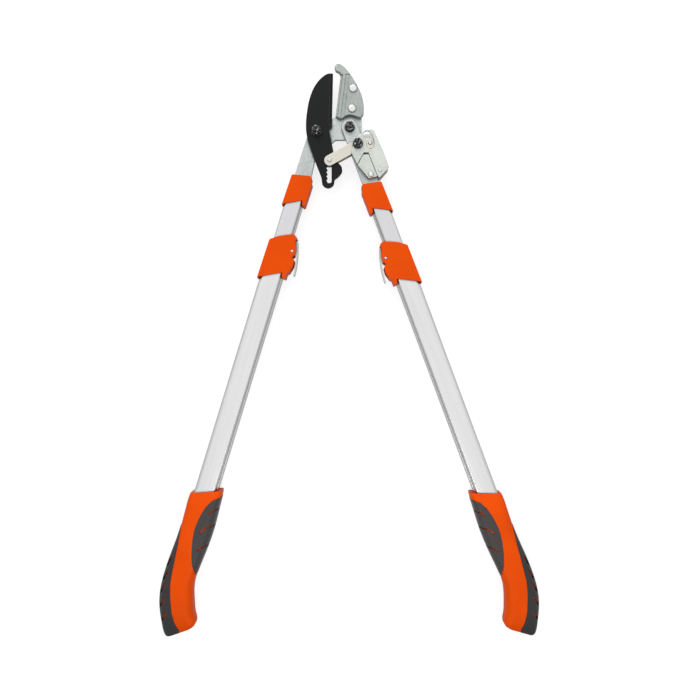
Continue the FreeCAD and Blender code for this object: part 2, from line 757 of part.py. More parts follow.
def make_bracket():
    """Folded sheet: front plate, rear plate and the flange that joins them on the outer side."""
    hole = "bolt_diameter + 2 * pivot_clearance"
    lever = (size("lever_pivot_x"), size("lever_pivot_y"), hole)
    anchor = (size("spring_anchor_x"), size("spring_anchor_y"), "tail_pin_diameter + 2 * pivot_clearance")
    rivet = (size("keeper_rivet_x"), size("keeper_rivet_y"), "rivet_diameter + 2 * pivot_clearance")
    shared = [
        (9.4, -12.8, 6), (18.2, -5.2, 10), (27.6, -4.4, 4), (31.4, -12, 8), (40.9, -33.2, 60),
        (46.6, -49.8, 1.5),
    ]
    front = shared + [
        (35.2, -62.4, 1), (33.2, -60, 0.5), (22.2, -32.3, 0.5), (16.9, -32.3, 0.5),
        (8.9, -46.6, 0.8), (1.6, -31.4, 5),
    ]
    rear = shared + [(36.4, -61.6, 2), (20.4, -62.6, 4), (1.6, -31.4, 6)]
    body = plate("ratchet_bracket", front, PLATE_FRONT_BOTTOM, "sheet_thickness", [lever, anchor])
    back = new_sketch(body, "XY_Plane", PLATE_REAR_BOTTOM)
    back.addGeometry(outline_edges(rear), False)
    for x, y, diameter in (lever, anchor, rivet):
        add_circle(back, x, y, diameter)
    flange = new_sketch(body, "XY_Plane", PLATE_REAR_BOTTOM)
    sheet = size("sheet_thickness")
    lean = VECTOR(-0.92, -0.39, 0) * sheet
    outer = [point(30.9, -11), point(40.9, -33.2), point(45.6, -47)]
    inner = [spot + lean for spot in reversed(outer)]
    flange.addGeometry(outline_edges([(spot.x, spot.y, 0) for spot in outer + inner]), False)
    add_pad(body, flange, f"{PLATE_FRONT_TOP} - {PLATE_REAR_BOTTOM}")
    add_pad(body, back, "sheet_thickness")
    window = new_sketch(body, "XY_Plane", PLATE_FRONT_BOTTOM)
    centre = point(lever[0], lever[1])
    radius = (point(size("tail_pin_x"), size("tail_pin_y")) - centre).Length
    window.addGeometry(arc_slot_edges(centre, radius, 4.6, -6, 44), False)
    add_pocket(body, window, "sheet_thickness")
    add_fillet(body, 0.5, outer_rim(size(PLATE_FRONT_TOP)))
    keep(body)


def make_keeper():
    """Kite-shaped plate between the legs of the bracket."""
    outline = [
        (16.1, -34.4, 0.6), (22.7, -34.4, 0.6), (33.0, -60.2, 1), (22.8, -62.9, 2), (9.3, -47.0, 1),
    ]
    body = plate("keeper_plate", outline, PLATE_FRONT_BOTTOM, "keeper_thickness", [
        (size("keeper_rivet_x"), size("keeper_rivet_y"), "rivet_diameter + 2 * pivot_clearance"),
    ])
    add_fillet(body, 0.4, outer_rim(size(KEEPER_TOP)))
    keep(body)


def make_spring():
    """Close-wound extension spring between the tail pin and its anchor, with a loop at each end."""
    tail = point(size("tail_pin_x"), size("tail_pin_y"))
    anchor = point(size("spring_anchor_x"), size("spring_anchor_y"))
    height = VECTOR(0, 0, size("mid_height"))
    along = anchor - tail
    span = along.Length
    wire = size("spring_wire")
    loop = size("tail_pin_diameter") / 2 + 0.25 + wire / 2
    rings = []
    for name, spot in (("spring_loop_tail", tail), ("spring_loop_anchor", anchor)):
        ring = DOC.addObject("Part::Torus", name)
        ring.Radius1 = loop
        ring.Radius2 = wire / 2
        ring.Placement = FreeCAD.Placement(spot + height, FreeCAD.Rotation())
        rings.append(ring)
    coil = DOC.addObject("Part::Cylinder", "spring_coil")
    coil.setExpression("Radius", formula("spring_diameter / 2"))
    coil.Height = span - 2 * loop
    along.normalize()
    coil.Placement = FreeCAD.Placement(tail + height + along * loop, FreeCAD.Rotation(UP, along))
    spring = DOC.addObject("Part::MultiFuse", "ratchet_spring")
    spring.Label = "ratchet_spring"
    spring.Shapes = [coil, *rings]
    keep(spring)


# ---------------------------------------------------------------- handles

def tube_section(side, grow):
    """Section of the inner tube, keyed on its inner side, grown all round by an amount."""
    outer = size("inner_outer_side") + grow
    body = size("inner_body_side") + grow
    key = size("inner_key_side") + grow
    high = size("inner_half_height") + grow
    key_high = size("inner_key_half_height") + grow
    middle = size("mid_height")
    corner = max(0.6, 3.0 + grow)
    upper = [(-outer, high, corner), (body, high, corner), (body, key_high, 0.6), (key, key_high, 1.0)]
    lower = [(across, -up, radius) for across, up, radius in reversed(upper)]
    return [(side * across, middle + up, radius) for across, up, radius in upper + lower]


def add_section(body, side, start, grow, hole_grow=None):
    """Sketch across the handle at a distance down it."""
    sketch = new_sketch(body, "XZ_Plane", start)
    sketch.addGeometry(outline_edges(tube_section(side, grow)), False)
    if hole_grow is not None:
        sketch.addGeometry(outline_edges(tube_section(side, hole_grow)), False)
    return sketch


OUTER_SKIN = "(tube_slide_gap + tube_wall)"


def make_tubes(name, side):
    inner = new_body(name + "_inner_tube")
    section = add_section(inner, side, "inner_tube_start", 0, -size("tube_wall"))
    add_pad(inner, section, "inner_tube_length")
    hole = "rivet_diameter + 2 * pivot_clearance"
    add_drill(inner, "0", "2 * mid_height", [
        (side * tang_middle(), -down, hole) for down in TANG_RIVETS
    ])
    keep(inner, handle_placement(side))

    outer = new_body(name + "_outer_tube")
    section = add_section(outer, side, "outer_tube_start", size(OUTER_SKIN), size("tube_slide_gap"))
    add_pad(outer, section, "outer_tube_length")
    keep(outer, handle_placement(side))

    bush = new_body(name + "_guide_bush")
    start = "(outer_tube_start - guide_bush_length)"
    section = add_section(bush, side, start, size(OUTER_SKIN), size("guide_clearance"))
    add_pad(bush, section, "guide_bush_length")
    keep(bush, handle_placement(side))

    plug = new_body(name + "_end_plug")
    end = "(inner_tube_start + inner_tube_length)"
    spigot = -size("tube_wall + guide_clearance")
    add_pad(plug, add_section(plug, side, f"{end} - end_plug_length", spigot), "end_plug_length")
    grown = size("tube_slide_gap - guide_clearance")
    add_pad(plug, add_section(plug, side, end, grown), "end_plug_length / 4")
    keep(plug, handle_placement(side))

    profile = [(0, -1, 0), (1, -1, 0), (1, 1, 0), (0, 1, 0)]
    radius = size("rivet_diameter") / 2
    high = size("inner_half_height")
    middle = size("mid_height")
    section = [(across * radius, middle + up * high, corner) for across, up, corner in profile]
    members = []
    for index, down in enumerate(TANG_RIVETS, start=1):
        members.append(turned(f"{name}_tang_rivet_{index}", section, side * tang_middle(), -down,
                              handle_placement(side)))
    group(name + "_tang_rivets", members)


COLLAR_BORE = "outer_tube_start"
COLLAR_EDGE = 0.5


def make_upper_collar(name, side):
    """Moulded collar over the joint of arm and inner tube, with a tongue over the key."""
    outline = handle_outline(side, [
        (-12.0, 4.2, 1.5), (9.4, -0.2, 1.5), (12.4, 1.6, 1.2), (11.9, 5.2, 0.6), (14.3, 7.6, 1),
        (14.0, 35, 1.5), (12.4, 36.9, 1), (9.9, 35.4, 1), (9.0, 30.2, 0.5), (-10.9, 40.2, 0.5),
        (-12.4, 43.4, 0.6), (-13.0, 41.4, 0.6),
    ])
    half = "(inner_half_height + collar_clearance + upper_collar_wall)"
    body = plate(name + "_upper_collar", outline, f"mid_height - {half}", f"2 * {half}")
    top = size("mid_height + inner_half_height + collar_clearance + upper_collar_wall")
    bottom = size("mid_height - inner_half_height - collar_clearance - upper_collar_wall")
    add_fillet(body, COLLAR_EDGE, both(at_level(top), at_level(bottom)))
    bore_start = "inner_tube_start - collar_clearance"
    add_pocket(body, add_section(body, side, bore_start, size("collar_clearance")), COLLAR_BORE)
    arm_bottom = HEAD_BOTTOM if side == LEFT else SWING_BOTTOM
    arm_thick = "head_thickness" if side == LEFT else "arm_thickness"
    arm_width = "left_arm_width" if side == LEFT else "arm_width"
    throat = new_sketch(body, "XY_Plane", f"{arm_bottom} - tang_clearance")
    reach = size(f"{arm_width} / 2 + tang_clearance")
    end = size("inner_tube_start")
    throat.addGeometry(outline_edges(handle_outline(side, [
        (-reach, -reach, 0), (reach, -reach, 0), (reach, end, 0), (-reach, end, 0),
    ])), False)
    add_pocket(body, throat, f"{arm_thick} + 2 * tang_clearance")
    keep(body, handle_placement(side))


LEVER_SLOT = "(lever_width / 2 + lever_side_gap)"
CLAMP_HALF = "(inner_half_height + tube_slide_gap + tube_wall + collar_clearance + clamp_collar_wall)"


def make_clamp_collar(name, side):
    """Moulded clamp housing with two cheeks for the lever."""
    outline = handle_outline(side, [
        (-14.6, 86, 2), (-6, 79.6, 40), (5, 74.4, 30), (12.0, 72.1, 3), (16.2, 74.6, 1.5), (15.2, 77.8, 1.2),
        (19.0, 88, 4), (19.5, 95, 3), (16.9, 97.8, 1.2), (20.5, 101.3, 3), (21.2, 108, 10),
        (18.8, 117, 2.5), (16.6, 118.8, 1), (16.5, 125.8, 1.2), (12.6, 125.2, 0.8), (11.2, 119.4, 0.5),
        (-13.4, 131.8, 0.5), (-15.0, 135.4, 0.8), (-15.4, 132, 1),
    ])
    body = plate(name + "_clamp_collar", outline, f"mid_height - {CLAMP_HALF}", f"2 * {CLAMP_HALF}")
    top = size(f"mid_height + {CLAMP_HALF}")
    bottom = size(f"mid_height - {CLAMP_HALF}")
    add_fillet(body, COLLAR_EDGE, both(at_level(top), at_level(bottom)))
    bush_start = "outer_tube_start - guide_bush_length - collar_clearance"
    wide = size(f"{OUTER_SKIN} + collar_clearance")
    add_pocket(body, add_section(body, side, bush_start, wide), COLLAR_BORE)
    narrow = size("collar_clearance")
    add_pocket(body, add_section(body, side, "outer_tube_start / 2", narrow), "outer_tube_start / 2")
    mouth = new_sketch(body, "XY_Plane", f"mid_height - {LEVER_SLOT}")
    key = size("inner_key_side")
    mouth.addGeometry(outline_edges(handle_outline(side, [
        (key, 76.5, 0), (30, 76.5, 0), (30, 122, 0), (21.2, 119, 0), (19.2, 112, 0), (18.6, 104, 0),
        (17.0, 98.6, 1), (key, 98.6, 0),
    ])), False)
    add_pocket(body, mouth, f"2 * {LEVER_SLOT}")
    add_drill(body, "0", "2 * mid_height", [
        (side * size("clamp_pin_v"), -size("clamp_pin_u"), "clamp_pin_diameter + 2 * pivot_clearance"),
    ])
    keep(body, handle_placement(side))


def make_clamp_parts(name, side):
    """Lever, its pin and the leaf that it presses on the tube."""
    v = size("clamp_pin_v")
    u = size("clamp_pin_u")
    eye = size("clamp_eye_diameter") / 2
    lever = new_body(name + "_clamp_lever")
    strip = new_sketch(lever, "XY_Plane", "mid_height - lever_width / 2")
    strip.addGeometry(outline_edges(handle_outline(side, [
        (16.2, 78.2, 0.6), (17.7, 77.6, 0.6), (21.6, 89.8, 60), (23.9, 100, 60), (25.3, 109, 60),
        (25.8, 118.4, 0.7), (24.2, 119.2, 0.7), (23.6, 109.4, 60), (22.2, 100.6, 60), (20.4, 94.8, 5),
        (v - eye, u + eye, eye), (v - eye, u - eye, eye), (18.6, u - eye, 2),
    ])), False)
    add_circle(strip, side * v, -u, "clamp_pin_diameter + 2 * pivot_clearance")
    add_pad(lever, strip, "lever_width")
    keep(lever, handle_placement(side))

    low = size(f"mid_height - {CLAMP_HALF}")
    high = size(f"mid_height + {CLAMP_HALF}")
    radius = size("clamp_pin_diameter") / 2
    profile = [(0, low, 0), (radius, low, 0.4), (radius, high, 0.4), (0, high, 0)]
    keep(turned(name + "_clamp_pin", profile, side * v, -u, handle_placement(side)))

    near = size("inner_key_side + clamp_shoe_gap")
    far = v - eye - size("clamp_shoe_gap")
    shoe = handle_outline(side, [(near, 84, 0), (far, 84, 0), (far, 98, 0), (near, 98, 0)])
    leaf = plate(name + "_clamp_shoe", shoe, "mid_height - lever_width / 2", "lever_width")
    keep(leaf, handle_placement(side))


# Stations down the grip: outer point, inner point (across, down), half height and share of it rounded.
GRIP_STATIONS = [
    ((-17.2, 401.4), (18.2, 388.2), 12.2, 0.45),
    ((-17.7, 411.0), (19.6, 398.6), 14.2, 0.55),
    ((-16.9, 444.0), (21.6, 436.0), 15.6, 0.72),
    ((-18.0, 470.0), (20.2, 468.0), 15.4, 0.72),
    ((-19.2, 492.0), (18.0, 496.0), 14.6, 0.72),
    ((-18.0, 521.0), (20.6, 515.6), 15.2, 0.72),
    ((-12.2, 543.0), (26.0, 531.0), 15.6, 0.72),
    ((-4.8, 559.0), (30.6, 541.0), 14.0, 0.70),
    ((2.0, 570.6), (34.2, 549.2), 11.0, 0.60),
    ((6.6, 573.6), (31.0, 556.2), 8.0, 0.60),
]

THUMB_REGION = [
    (40, 396, 0), (18.6, 396, 2), (11.7, 401, 8), (6.3, 411, 30), (3.0, 424, 40), (1.5, 439, 40),
    (3.0, 452, 40), (6.7, 468, 40), (11.0, 480, 30), (15.3, 487.8, 20), (18.9, 495.2, 5), (40, 499.5, 0),
]

PALM_REGION = [
    (-40, 441, 0), (-16.8, 441.4, 0), (-14.7, 446.1, 3), (-12.1, 461.7, 60), (-10.9, 473.5, 60),
    (-8.5, 497.1, 60), (-7.0, 508.8, 40), (-3.6, 520.0, 40), (0.6, 530.8, 40), (5.1, 541.6, 40),
    (11.0, 552.0, 30), (18.4, 560.1, 4), (24, 590, 0), (-40, 590, 0),
]


def grip_station(side, station, shrink):
    """Rounded section that spans the outer and inner points of a station."""
    (outer_v, outer_u), (inner_v, inner_u), half_height, rounding = station
    outer = point(side * outer_v, -outer_u)
    inner = point(side * inner_v, -inner_u)
    across = inner - outer
    half_width = across.Length / 2 - shrink
    half_height -= shrink
    across.normalize()
    centre = (outer + inner) * 0.5 + UP * size("mid_height")
    corner = rounding * half_height
    flat = half_width - corner
    side_flat = half_height - corner
    edges = []
    diagonal = corner * math.sqrt(0.5)

    def at(x, z):
        return centre + across * x + UP * z

    signs = ((1, 1), (-1, 1), (-1, -1), (1, -1))
    for index, (right, up) in enumerate(signs):
        tall = at(right * half_width, up * side_flat)
        wide = at(right * flat, up * half_height)
        bend = at(right * (flat + diagonal), up * (side_flat + diagonal))
        start, end = (tall, wide) if right * up > 0 else (wide, tall)
        edges.append(Part.Arc(start, bend, end).toShape())
        next_right, next_up = signs[(index + 1) % 4]
        if right * up > 0:
            following = at(next_right * flat, next_up * half_height)
        else:
            following = at(next_right * half_width, next_up * side_flat)
        edges.append(Part.LineSegment(end, following).toShape())
    return Part.Wire(edges)


def grip_loft(side, shrink):
    wires = [grip_station(side, station, shrink) for station in GRIP_STATIONS]
    return Part.makeLoft(wires, True, False)


def region_prism(side, region):
    """Upright prism over a region of the grip's outline."""
    edges = [curve.toShape() for curve in outline_edges(handle_outline(side, region))]
    face = Part.Face(Part.Wire(edges))
    return face.extrude(UP * (4 * size("mid_height")))


def grip_feature(label, shape, side):
    feature = DOC.addObject("Part::Feature", label)
    feature.Label = label
    feature.Shape = shape
    keep(feature, handle_placement(side))


def grip_bore(side):
    """Blind hole for the outer tube, with the fitting gap all round and at its bottom."""
    gap = size("grip_fit_gap")
    section = outline_edges(tube_section(side, size(OUTER_SKIN) + gap))
    wire = Part.Wire([curve.toShape() for curve in section])
    wire.rotate(VECTOR(0, 0, 0), VECTOR(1, 0, 0), 90)
    wire.translate(VECTOR(0, -size("outer_tube_start"), 0))
    return Part.Face(wire).extrude(VECTOR(0, -size("outer_tube_length") - gap, 0))


# Larger than the grip's distance from its frame's axis, and half of its lowest point's.
GRIP_REACH = 400.0


def make_grip(name, side):
    """Hard grip with two soft pads set into it, closed at its lower end."""
    height = size("grip_height")
    corner = VECTOR(-GRIP_REACH, -2 * GRIP_REACH, size("mid_height") - height / 2)
    slab = Part.makeBox(2 * GRIP_REACH, 2 * GRIP_REACH, height, corner)
    skin = grip_loft(side, 0).common(slab)
    hard = grip_loft(side, size("grip_pad_rise")).common(slab)
    core = grip_loft(side, size("grip_skin"))
    thumb_prism = region_prism(side, THUMB_REGION)
    palm_prism = region_prism(side, PALM_REGION)
    thumb = skin.common(thumb_prism).cut(core)
    palm = skin.common(palm_prism).cut(core)
    bare = hard.cut(thumb_prism).cut(palm_prism)
    body = core.fuse(bare).removeSplitter()
    bore = grip_bore(side)
    grip_feature(name + "_grip", body.cut(bore), side)
    grip_feature(name + "_thumb_pad", thumb.cut(bore), side)
    grip_feature(name + "_palm_pad", palm.cut(bore), side)


# ---------------------------------------------------------------- output

def centre_on_floor():
    """Moves every piece so that the origin is at the middle of the underside of the whole box."""
    low = VECTOR(1e9, 1e9, 1e9)
    high = VECTOR(-1e9, -1e9, -1e9)
    for node in NODES:
        box = node.Shape.optimalBoundingBox(False, False)
        low = VECTOR(min(low.x, box.XMin), min(low.y, box.YMin), min(low.z, box.ZMin))
        high = VECTOR(max(high.x, box.XMax), max(high.y, box.YMax), max(high.z, box.ZMax))
    shift = VECTOR(-(low.x + high.x) / 2, -(low.y + high.y) / 2, -low.z)
    for node in NODES:
        node.Placement = FreeCAD.Placement(shift, FreeCAD.Rotation()).multiply(node.Placement)
    DOC.recompute()
    print("main pivot at", shift, "box", high - low)


def check_document():
    """Stops on a failed feature or a bad shape."""
    for item in DOC.Objects:
        if "Invalid" in item.State or "Error" in item.State:
            raise RuntimeError(f"{item.Label} failed: {item.State}")
    for node in NODES:
        if node.Shape.isNull() or not node.Shape.isValid() or not node.Shape.Solids:
            raise RuntimeError(f"{node.Label} has no valid solid")


def write_parts():
    os.makedirs("parts", exist_ok=True)
    for node in NODES:
        node.Shape.exportStep(f"parts/{node.Label}.step")
    print(len(NODES), "nodes")


def main():
    fill_sheet()
    make_left_arm()
    make_right_arm()
    make_blade()
    make_anvil()
    make_anvil_rivets()
    make_pivot("main", 0, 0, SWING_TOP, 0)
    make_pivot("blade", size("blade_pivot_x"), size("blade_pivot_y"), BLADE_TOP, 30)
    make_lever_pivot()
    make_links()
    make_pins()
    make_bracket()
    make_keeper()
    make_keeper_spacers()
    make_spring()
    for name, side in SIDES:
        make_tubes(name, side)
        make_upper_collar(name, side)
        make_clamp_collar(name, side)
        make_clamp_parts(name, side)
        make_grip(name, side)
    DOC.recompute()
    check_document()
    centre_on_floor()
    check_document()
    write_parts()


main()
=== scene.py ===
"""Ratchet anvil lopper with telescopic handles: its finishes, moulded pads, spring and studio."""

import json
import math

import bpy
from mathutils import Matrix, Vector


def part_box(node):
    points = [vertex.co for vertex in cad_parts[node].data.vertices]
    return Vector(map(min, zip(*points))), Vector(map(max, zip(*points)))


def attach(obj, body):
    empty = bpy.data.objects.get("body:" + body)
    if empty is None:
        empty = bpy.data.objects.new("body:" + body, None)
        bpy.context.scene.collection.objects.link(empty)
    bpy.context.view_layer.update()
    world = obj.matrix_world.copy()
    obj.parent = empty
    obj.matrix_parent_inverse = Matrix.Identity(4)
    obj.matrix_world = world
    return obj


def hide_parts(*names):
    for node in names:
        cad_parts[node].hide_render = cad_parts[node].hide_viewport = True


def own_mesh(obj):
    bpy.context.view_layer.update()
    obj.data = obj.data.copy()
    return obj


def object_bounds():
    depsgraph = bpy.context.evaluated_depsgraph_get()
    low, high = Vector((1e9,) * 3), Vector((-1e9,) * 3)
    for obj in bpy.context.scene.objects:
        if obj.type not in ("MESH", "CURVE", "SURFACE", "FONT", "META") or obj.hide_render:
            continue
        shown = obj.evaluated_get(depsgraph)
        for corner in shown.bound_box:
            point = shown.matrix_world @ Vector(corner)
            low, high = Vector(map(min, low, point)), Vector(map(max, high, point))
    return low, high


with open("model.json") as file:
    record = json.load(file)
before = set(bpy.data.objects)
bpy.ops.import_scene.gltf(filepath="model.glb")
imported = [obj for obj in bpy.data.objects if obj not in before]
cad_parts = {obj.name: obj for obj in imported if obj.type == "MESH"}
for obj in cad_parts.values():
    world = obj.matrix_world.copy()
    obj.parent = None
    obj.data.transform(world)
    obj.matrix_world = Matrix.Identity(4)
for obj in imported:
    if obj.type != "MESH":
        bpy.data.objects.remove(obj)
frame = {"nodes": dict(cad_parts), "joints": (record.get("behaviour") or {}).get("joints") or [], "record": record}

bl_info = {
    "name": "Ratchet Anvil Lopper",
    "version": (1, 0, 0),
    "blender": (4, 5, 0),
    "location": "View3D > Sidebar > Lopper",
    "description": "Finishes, moulded pads, spring and studio for a telescopic anvil lopper",
    "category": "Object",
}

CAD_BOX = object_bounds()
SIDES = ("left", "right")
MM = 0.001


def shade(red, green, blue):
    """Screen colour from 0 to 255 as the linear colour that a shader takes."""
    linear = []
    for channel in (red, green, blue):
        value = channel / 255
        linear.append(value / 12.92 if value <= 0.04045 else ((value + 0.055) / 1.055) ** 2.4)
    return tuple(linear)


# ---------------------------------------------------------------- what a user may change


def colour_property(name, description, red, green, blue):
    return bpy.props.FloatVectorProperty(
        name=name, description=description, subtype="COLOR", size=3, min=0.0, max=1.0,
        default=shade(red, green, blue),
    )


def length_property(name, description, millimetres):
    return bpy.props.FloatProperty(
        name=name, description=description, default=millimetres * MM, min=0.0,
        subtype="DISTANCE", unit="LENGTH", precision=4,
    )


def light_property(name, description, strength):
    return bpy.props.FloatProperty(
        name=name, description=description, default=strength, min=0.0, soft_max=2.0,
    )


class LopperColours(bpy.types.PropertyGroup):
    """Colours of the lopper's finishes."""

    orange: colour_property("Orange", "Hard plastic of the grips and collars", 221, 74, 0)
    soft_grey: colour_property("Soft grey", "Soft pads under the thumbs", 49, 45, 44)
    # Darker copy of the thumb pads' rubber: painted shade on the pads that face outwards.
    palm_shaded_grey: colour_property("Palm grey", "Soft pads in the palms", 30, 27, 27)
    blade_black: colour_property("Blade black", "Non-stick coating of the blade", 15, 16, 17)
    ground_steel: colour_property("Ground steel", "Bare steel where the coating ends", 176, 180, 180)
    inner_tube: colour_property("Inner tube", "Anodised aluminium of the inner tubes", 208, 208, 210)
    outer_tube: colour_property("Outer tube", "Anodised aluminium of the outer tubes", 217, 217, 218)
    arm: colour_property("Arm", "Blasted plating of the two arms", 184, 190, 188)
    anvil: colour_property("Anvil", "Cast anvil", 165, 170, 167)
    zinc: colour_property("Zinc", "Zinc plate on the ratchet's sheet parts", 200, 204, 198)
    nickel: colour_property("Nickel", "Warm nickel plate on the ratchet link", 210, 207, 195)
    bright: colour_property("Bright", "Rivet heads and pins", 226, 228, 228)
    spring: colour_property("Spring", "Drawn wire of the ratchet spring", 190, 192, 196)
    black_oxide: colour_property("Black oxide", "Bolts and nuts", 40, 40, 40)
    guide_black: colour_property("Guide black", "Plastic bushes and plugs inside the tubes", 38, 38, 38)


class LopperSizes(bpy.types.PropertyGroup):
    """Sizes of the moulded grooves and of the spring."""

    groove_width: length_property("Groove width", "Width of a groove in the soft pads", 1.9)
    palm_groove_length: length_property("Palm groove", "Reach of a slanted groove on the palm pad", 13)
    wire: length_property("Spring wire", "Diameter of the ratchet spring's wire", 0.9)
    edge_round: length_property("Edge rounding", "How far light rounds the edges of metal parts", 0.35)


class LopperStudio(bpy.types.PropertyGroup):
    """Camera and light of the studio."""

    camera_height: length_property("Camera height", "From the floor to the camera", 795)
    view_angle: bpy.props.FloatProperty(
        name="View angle", description="Camera's angle of view", default=math.radians(56.6),
        subtype="ANGLE", unit="ROTATION",
    )
    sky: light_property("Sky", "Brightness overhead", 1.12)
    horizon_beyond: light_property("Horizon beyond", "Brightness low down beyond the head", 0.95)
    horizon_behind: light_property("Horizon behind", "Brightness low down behind the grips", 0.03)
    backdrop: light_property("Backdrop", "Brightness of the backdrop as it is seen directly", 0.96)
    floor_glow: light_property("Floor glow", "Brightness added to the floor as it is seen directly", 0.76)
    mirrored_glow: light_property("Mirrored glow", "Brightness added to the floor in reflections", 0.28)
    key_power: bpy.props.FloatProperty(
        name="Key light", description="Power of the soft light beyond the head", default=9.0,
        min=0.0, subtype="POWER", unit="POWER",
    )
    grip_power: bpy.props.FloatProperty(
        name="Grip light", description="Power of the small light behind the grips", default=0.2,
        min=0.0, subtype="POWER", unit="POWER",
    )


def colours():
    return bpy.context.scene.lopper_colours


def sizes():
    return bpy.context.scene.lopper_sizes


def studio():
    return bpy.context.scene.lopper_studio


# ---------------------------------------------------------------- places, from the frame


def middle(node):
    low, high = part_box(node)
    return (low + high) / 2


def joint(name):
    return next(each for each in frame["joints"] if each["name"] == name)


def handle_matrix(side):
    """Frame of a handle: x towards the other handle, y up the handle, origin in its resting face."""
    down = Vector(joint(side + "_handle_extend")["axis"])
    up = -down
    turn = math.atan2(-up.x, up.y)
    mount = next(m for m in frame["record"]["mounts"] if m["name"] == side + "_grip_rest")
    return Matrix.Translation(Vector(mount["pos_m"])) @ Matrix.Rotation(turn, 4, "Z")


def frame_between(start, end):
    """Upright frame at a point, with y towards another."""
    turn = math.atan2(start.x - end.x, end.y - start.y)
    return Matrix.Translation(start) @ Matrix.Rotation(turn, 4, "Z")


# ---------------------------------------------------------------- node recipes


# A surface turned from its smoothed normal: cosine where an edge starts to show, and where it is full.
EDGE_STARTS = 0.985
EDGE_FULL = 0.85
# Share of open sky over a point: painted corner shade is darkest at the first, and clear at the second.
CORNER_DARK = 0.35
CORNER_CLEAR = 0.9
# Rays sent out to find an edge or a corner.
EDGE_SAMPLES = 4
# A mix node's sockets when it mixes colours, which share their names with those for numbers.
MIX_FIRST = 6
MIX_SECOND = 7
MIX_RESULT = 2
BLACK = (0.0, 0.0, 0.0)


class Recipe:
    """One procedural finish, built a step at a time."""

    def __init__(self, name):
        self.material = bpy.data.materials.new(name)
        self.material.use_nodes = True
        self.tree = self.material.node_tree
        self.shader = self.tree.nodes["Principled BSDF"]
        self.place = self.add("ShaderNodeTexCoord").outputs["Object"]

    def add(self, kind, inputs=None, **settings):
        """Adds a node; an input that is a socket is linked, and any other value is set."""
        made = self.tree.nodes.new(kind)
        for name, value in settings.items():
            setattr(made, name, value)
        for name, value in (inputs or {}).items():
            self.feed(made.inputs[name], value)
        return made

    def feed(self, socket, value):
        if isinstance(value, bpy.types.NodeSocket):
            self.tree.links.new(value, socket)
        else:
            socket.default_value = value

    def set(self, **values):
        """Sets or links the shader's own sockets, named with _ for a space."""
        for name, value in values.items():
            self.feed(self.shader.inputs[name.replace("_", " ")], value)

    def placed(self, matrix):
        """The part's own coordinates, carried over to an upright frame."""
        return self.add(
            "ShaderNodeMapping",
            {"Vector": self.place, "Location": matrix.translation,
             "Rotation": (0, 0, matrix.to_euler().z)},
            vector_type="TEXTURE",
        ).outputs["Vector"]

    def stretched(self, place, x, y, z):
        return self.add("ShaderNodeMapping", {"Vector": place, "Scale": (x, y, z)}).outputs["Vector"]

    def noise(self, scale, detail=3.0, roughness=0.55, place=None):
        return self.add(
            "ShaderNodeTexNoise",
            {"Vector": place or self.place, "Scale": scale, "Detail": detail, "Roughness": roughness},
        ).outputs["Fac"]

    def cells(self, scale):
        return self.add("ShaderNodeTexVoronoi", {"Vector": self.place, "Scale": scale}).outputs["Distance"]

    def spread(self, value, low, high, to_low=0.0, to_high=1.0):
        """Maps the stretch low..high of a value to to_low..to_high, and clamps it."""
        return self.add(
            "ShaderNodeMapRange",
            {"Value": value, "From Min": low, "From Max": high, "To Min": to_low, "To Max": to_high},
        ).outputs["Result"]

    def maths(self, operation, first, second=0.0):
        return self.add("ShaderNodeMath", {0: first, 1: second}, operation=operation).outputs["Value"]

    def mixed(self, share, first, second):
        """Colour from first at share 0 to second at share 1."""
        inputs = {"Factor": share, MIX_FIRST: rgba(first), MIX_SECOND: rgba(second)}
        return self.add("ShaderNodeMix", inputs, data_type="RGBA").outputs[MIX_RESULT]

    def rounded(self, radius):
        """Normal that rounds the edges within a radius."""
        return self.add("ShaderNodeBevel", {"Radius": radius}, samples=EDGE_SAMPLES).outputs["Normal"]

    def edges(self, radius):
        """1 along sharp edges, fading to 0 within a radius."""
        face = self.add("ShaderNodeNewGeometry").outputs["Normal"]
        dot = self.add(
            "ShaderNodeVectorMath", {0: face, 1: self.rounded(radius)}, operation="DOT_PRODUCT",
        ).outputs["Value"]
        return self.spread(dot, EDGE_STARTS, EDGE_FULL)

    def open_share(self, distance, darkest):
        """1 in the open, falling to the darkest share in corners and narrow gaps."""
        open_sky = self.add(
            "ShaderNodeAmbientOcclusion", {"Distance": distance}, samples=EDGE_SAMPLES,
        ).outputs["AO"]
        return self.spread(open_sky, CORNER_DARK, CORNER_CLEAR, darkest, 1.0)

    def painted_corner_shade(self, base, distance=2.5 * MM, darkest=0.12):
        """A colour darkened in corners and narrow gaps, where little open sky reaches: painted shade."""
        return self.mixed(self.open_share(distance, darkest), BLACK, base)

    def bumped(self, height, strength, distance, normal=None):
        inputs = {"Height": height, "Strength": strength, "Distance": distance}
        if normal is not None:
            inputs["Normal"] = normal
        return self.add("ShaderNodeBump", inputs).outputs["Normal"]


def rgba(colour):
    if isinstance(colour, bpy.types.NodeSocket):
        return colour
    return (colour[0], colour[1], colour[2], 1.0)


def toned(colour, factor):
    """A lighter or darker tone of a colour."""
    return tuple(min(1.0, channel * factor) for channel in colour[:3])


# ---------------------------------------------------------------- finishes

BLADE_WEAR = 0.45 * MM
BLADE_HONED = 0.9 * MM
NUT_WEAR_AND_GLINT = 0.4 * MM
NUT_ROUND = 0.5 * MM
PLASTIC_RUB = 0.5 * MM
MOULD_ROUND = 0.4 * MM
RIVET_CROWN = 2.6 * MM
# Bright steel of worn nut edges, also the colour of their painted highlights.
GLINT_AND_WORN_STEEL = shade(210, 211, 213)


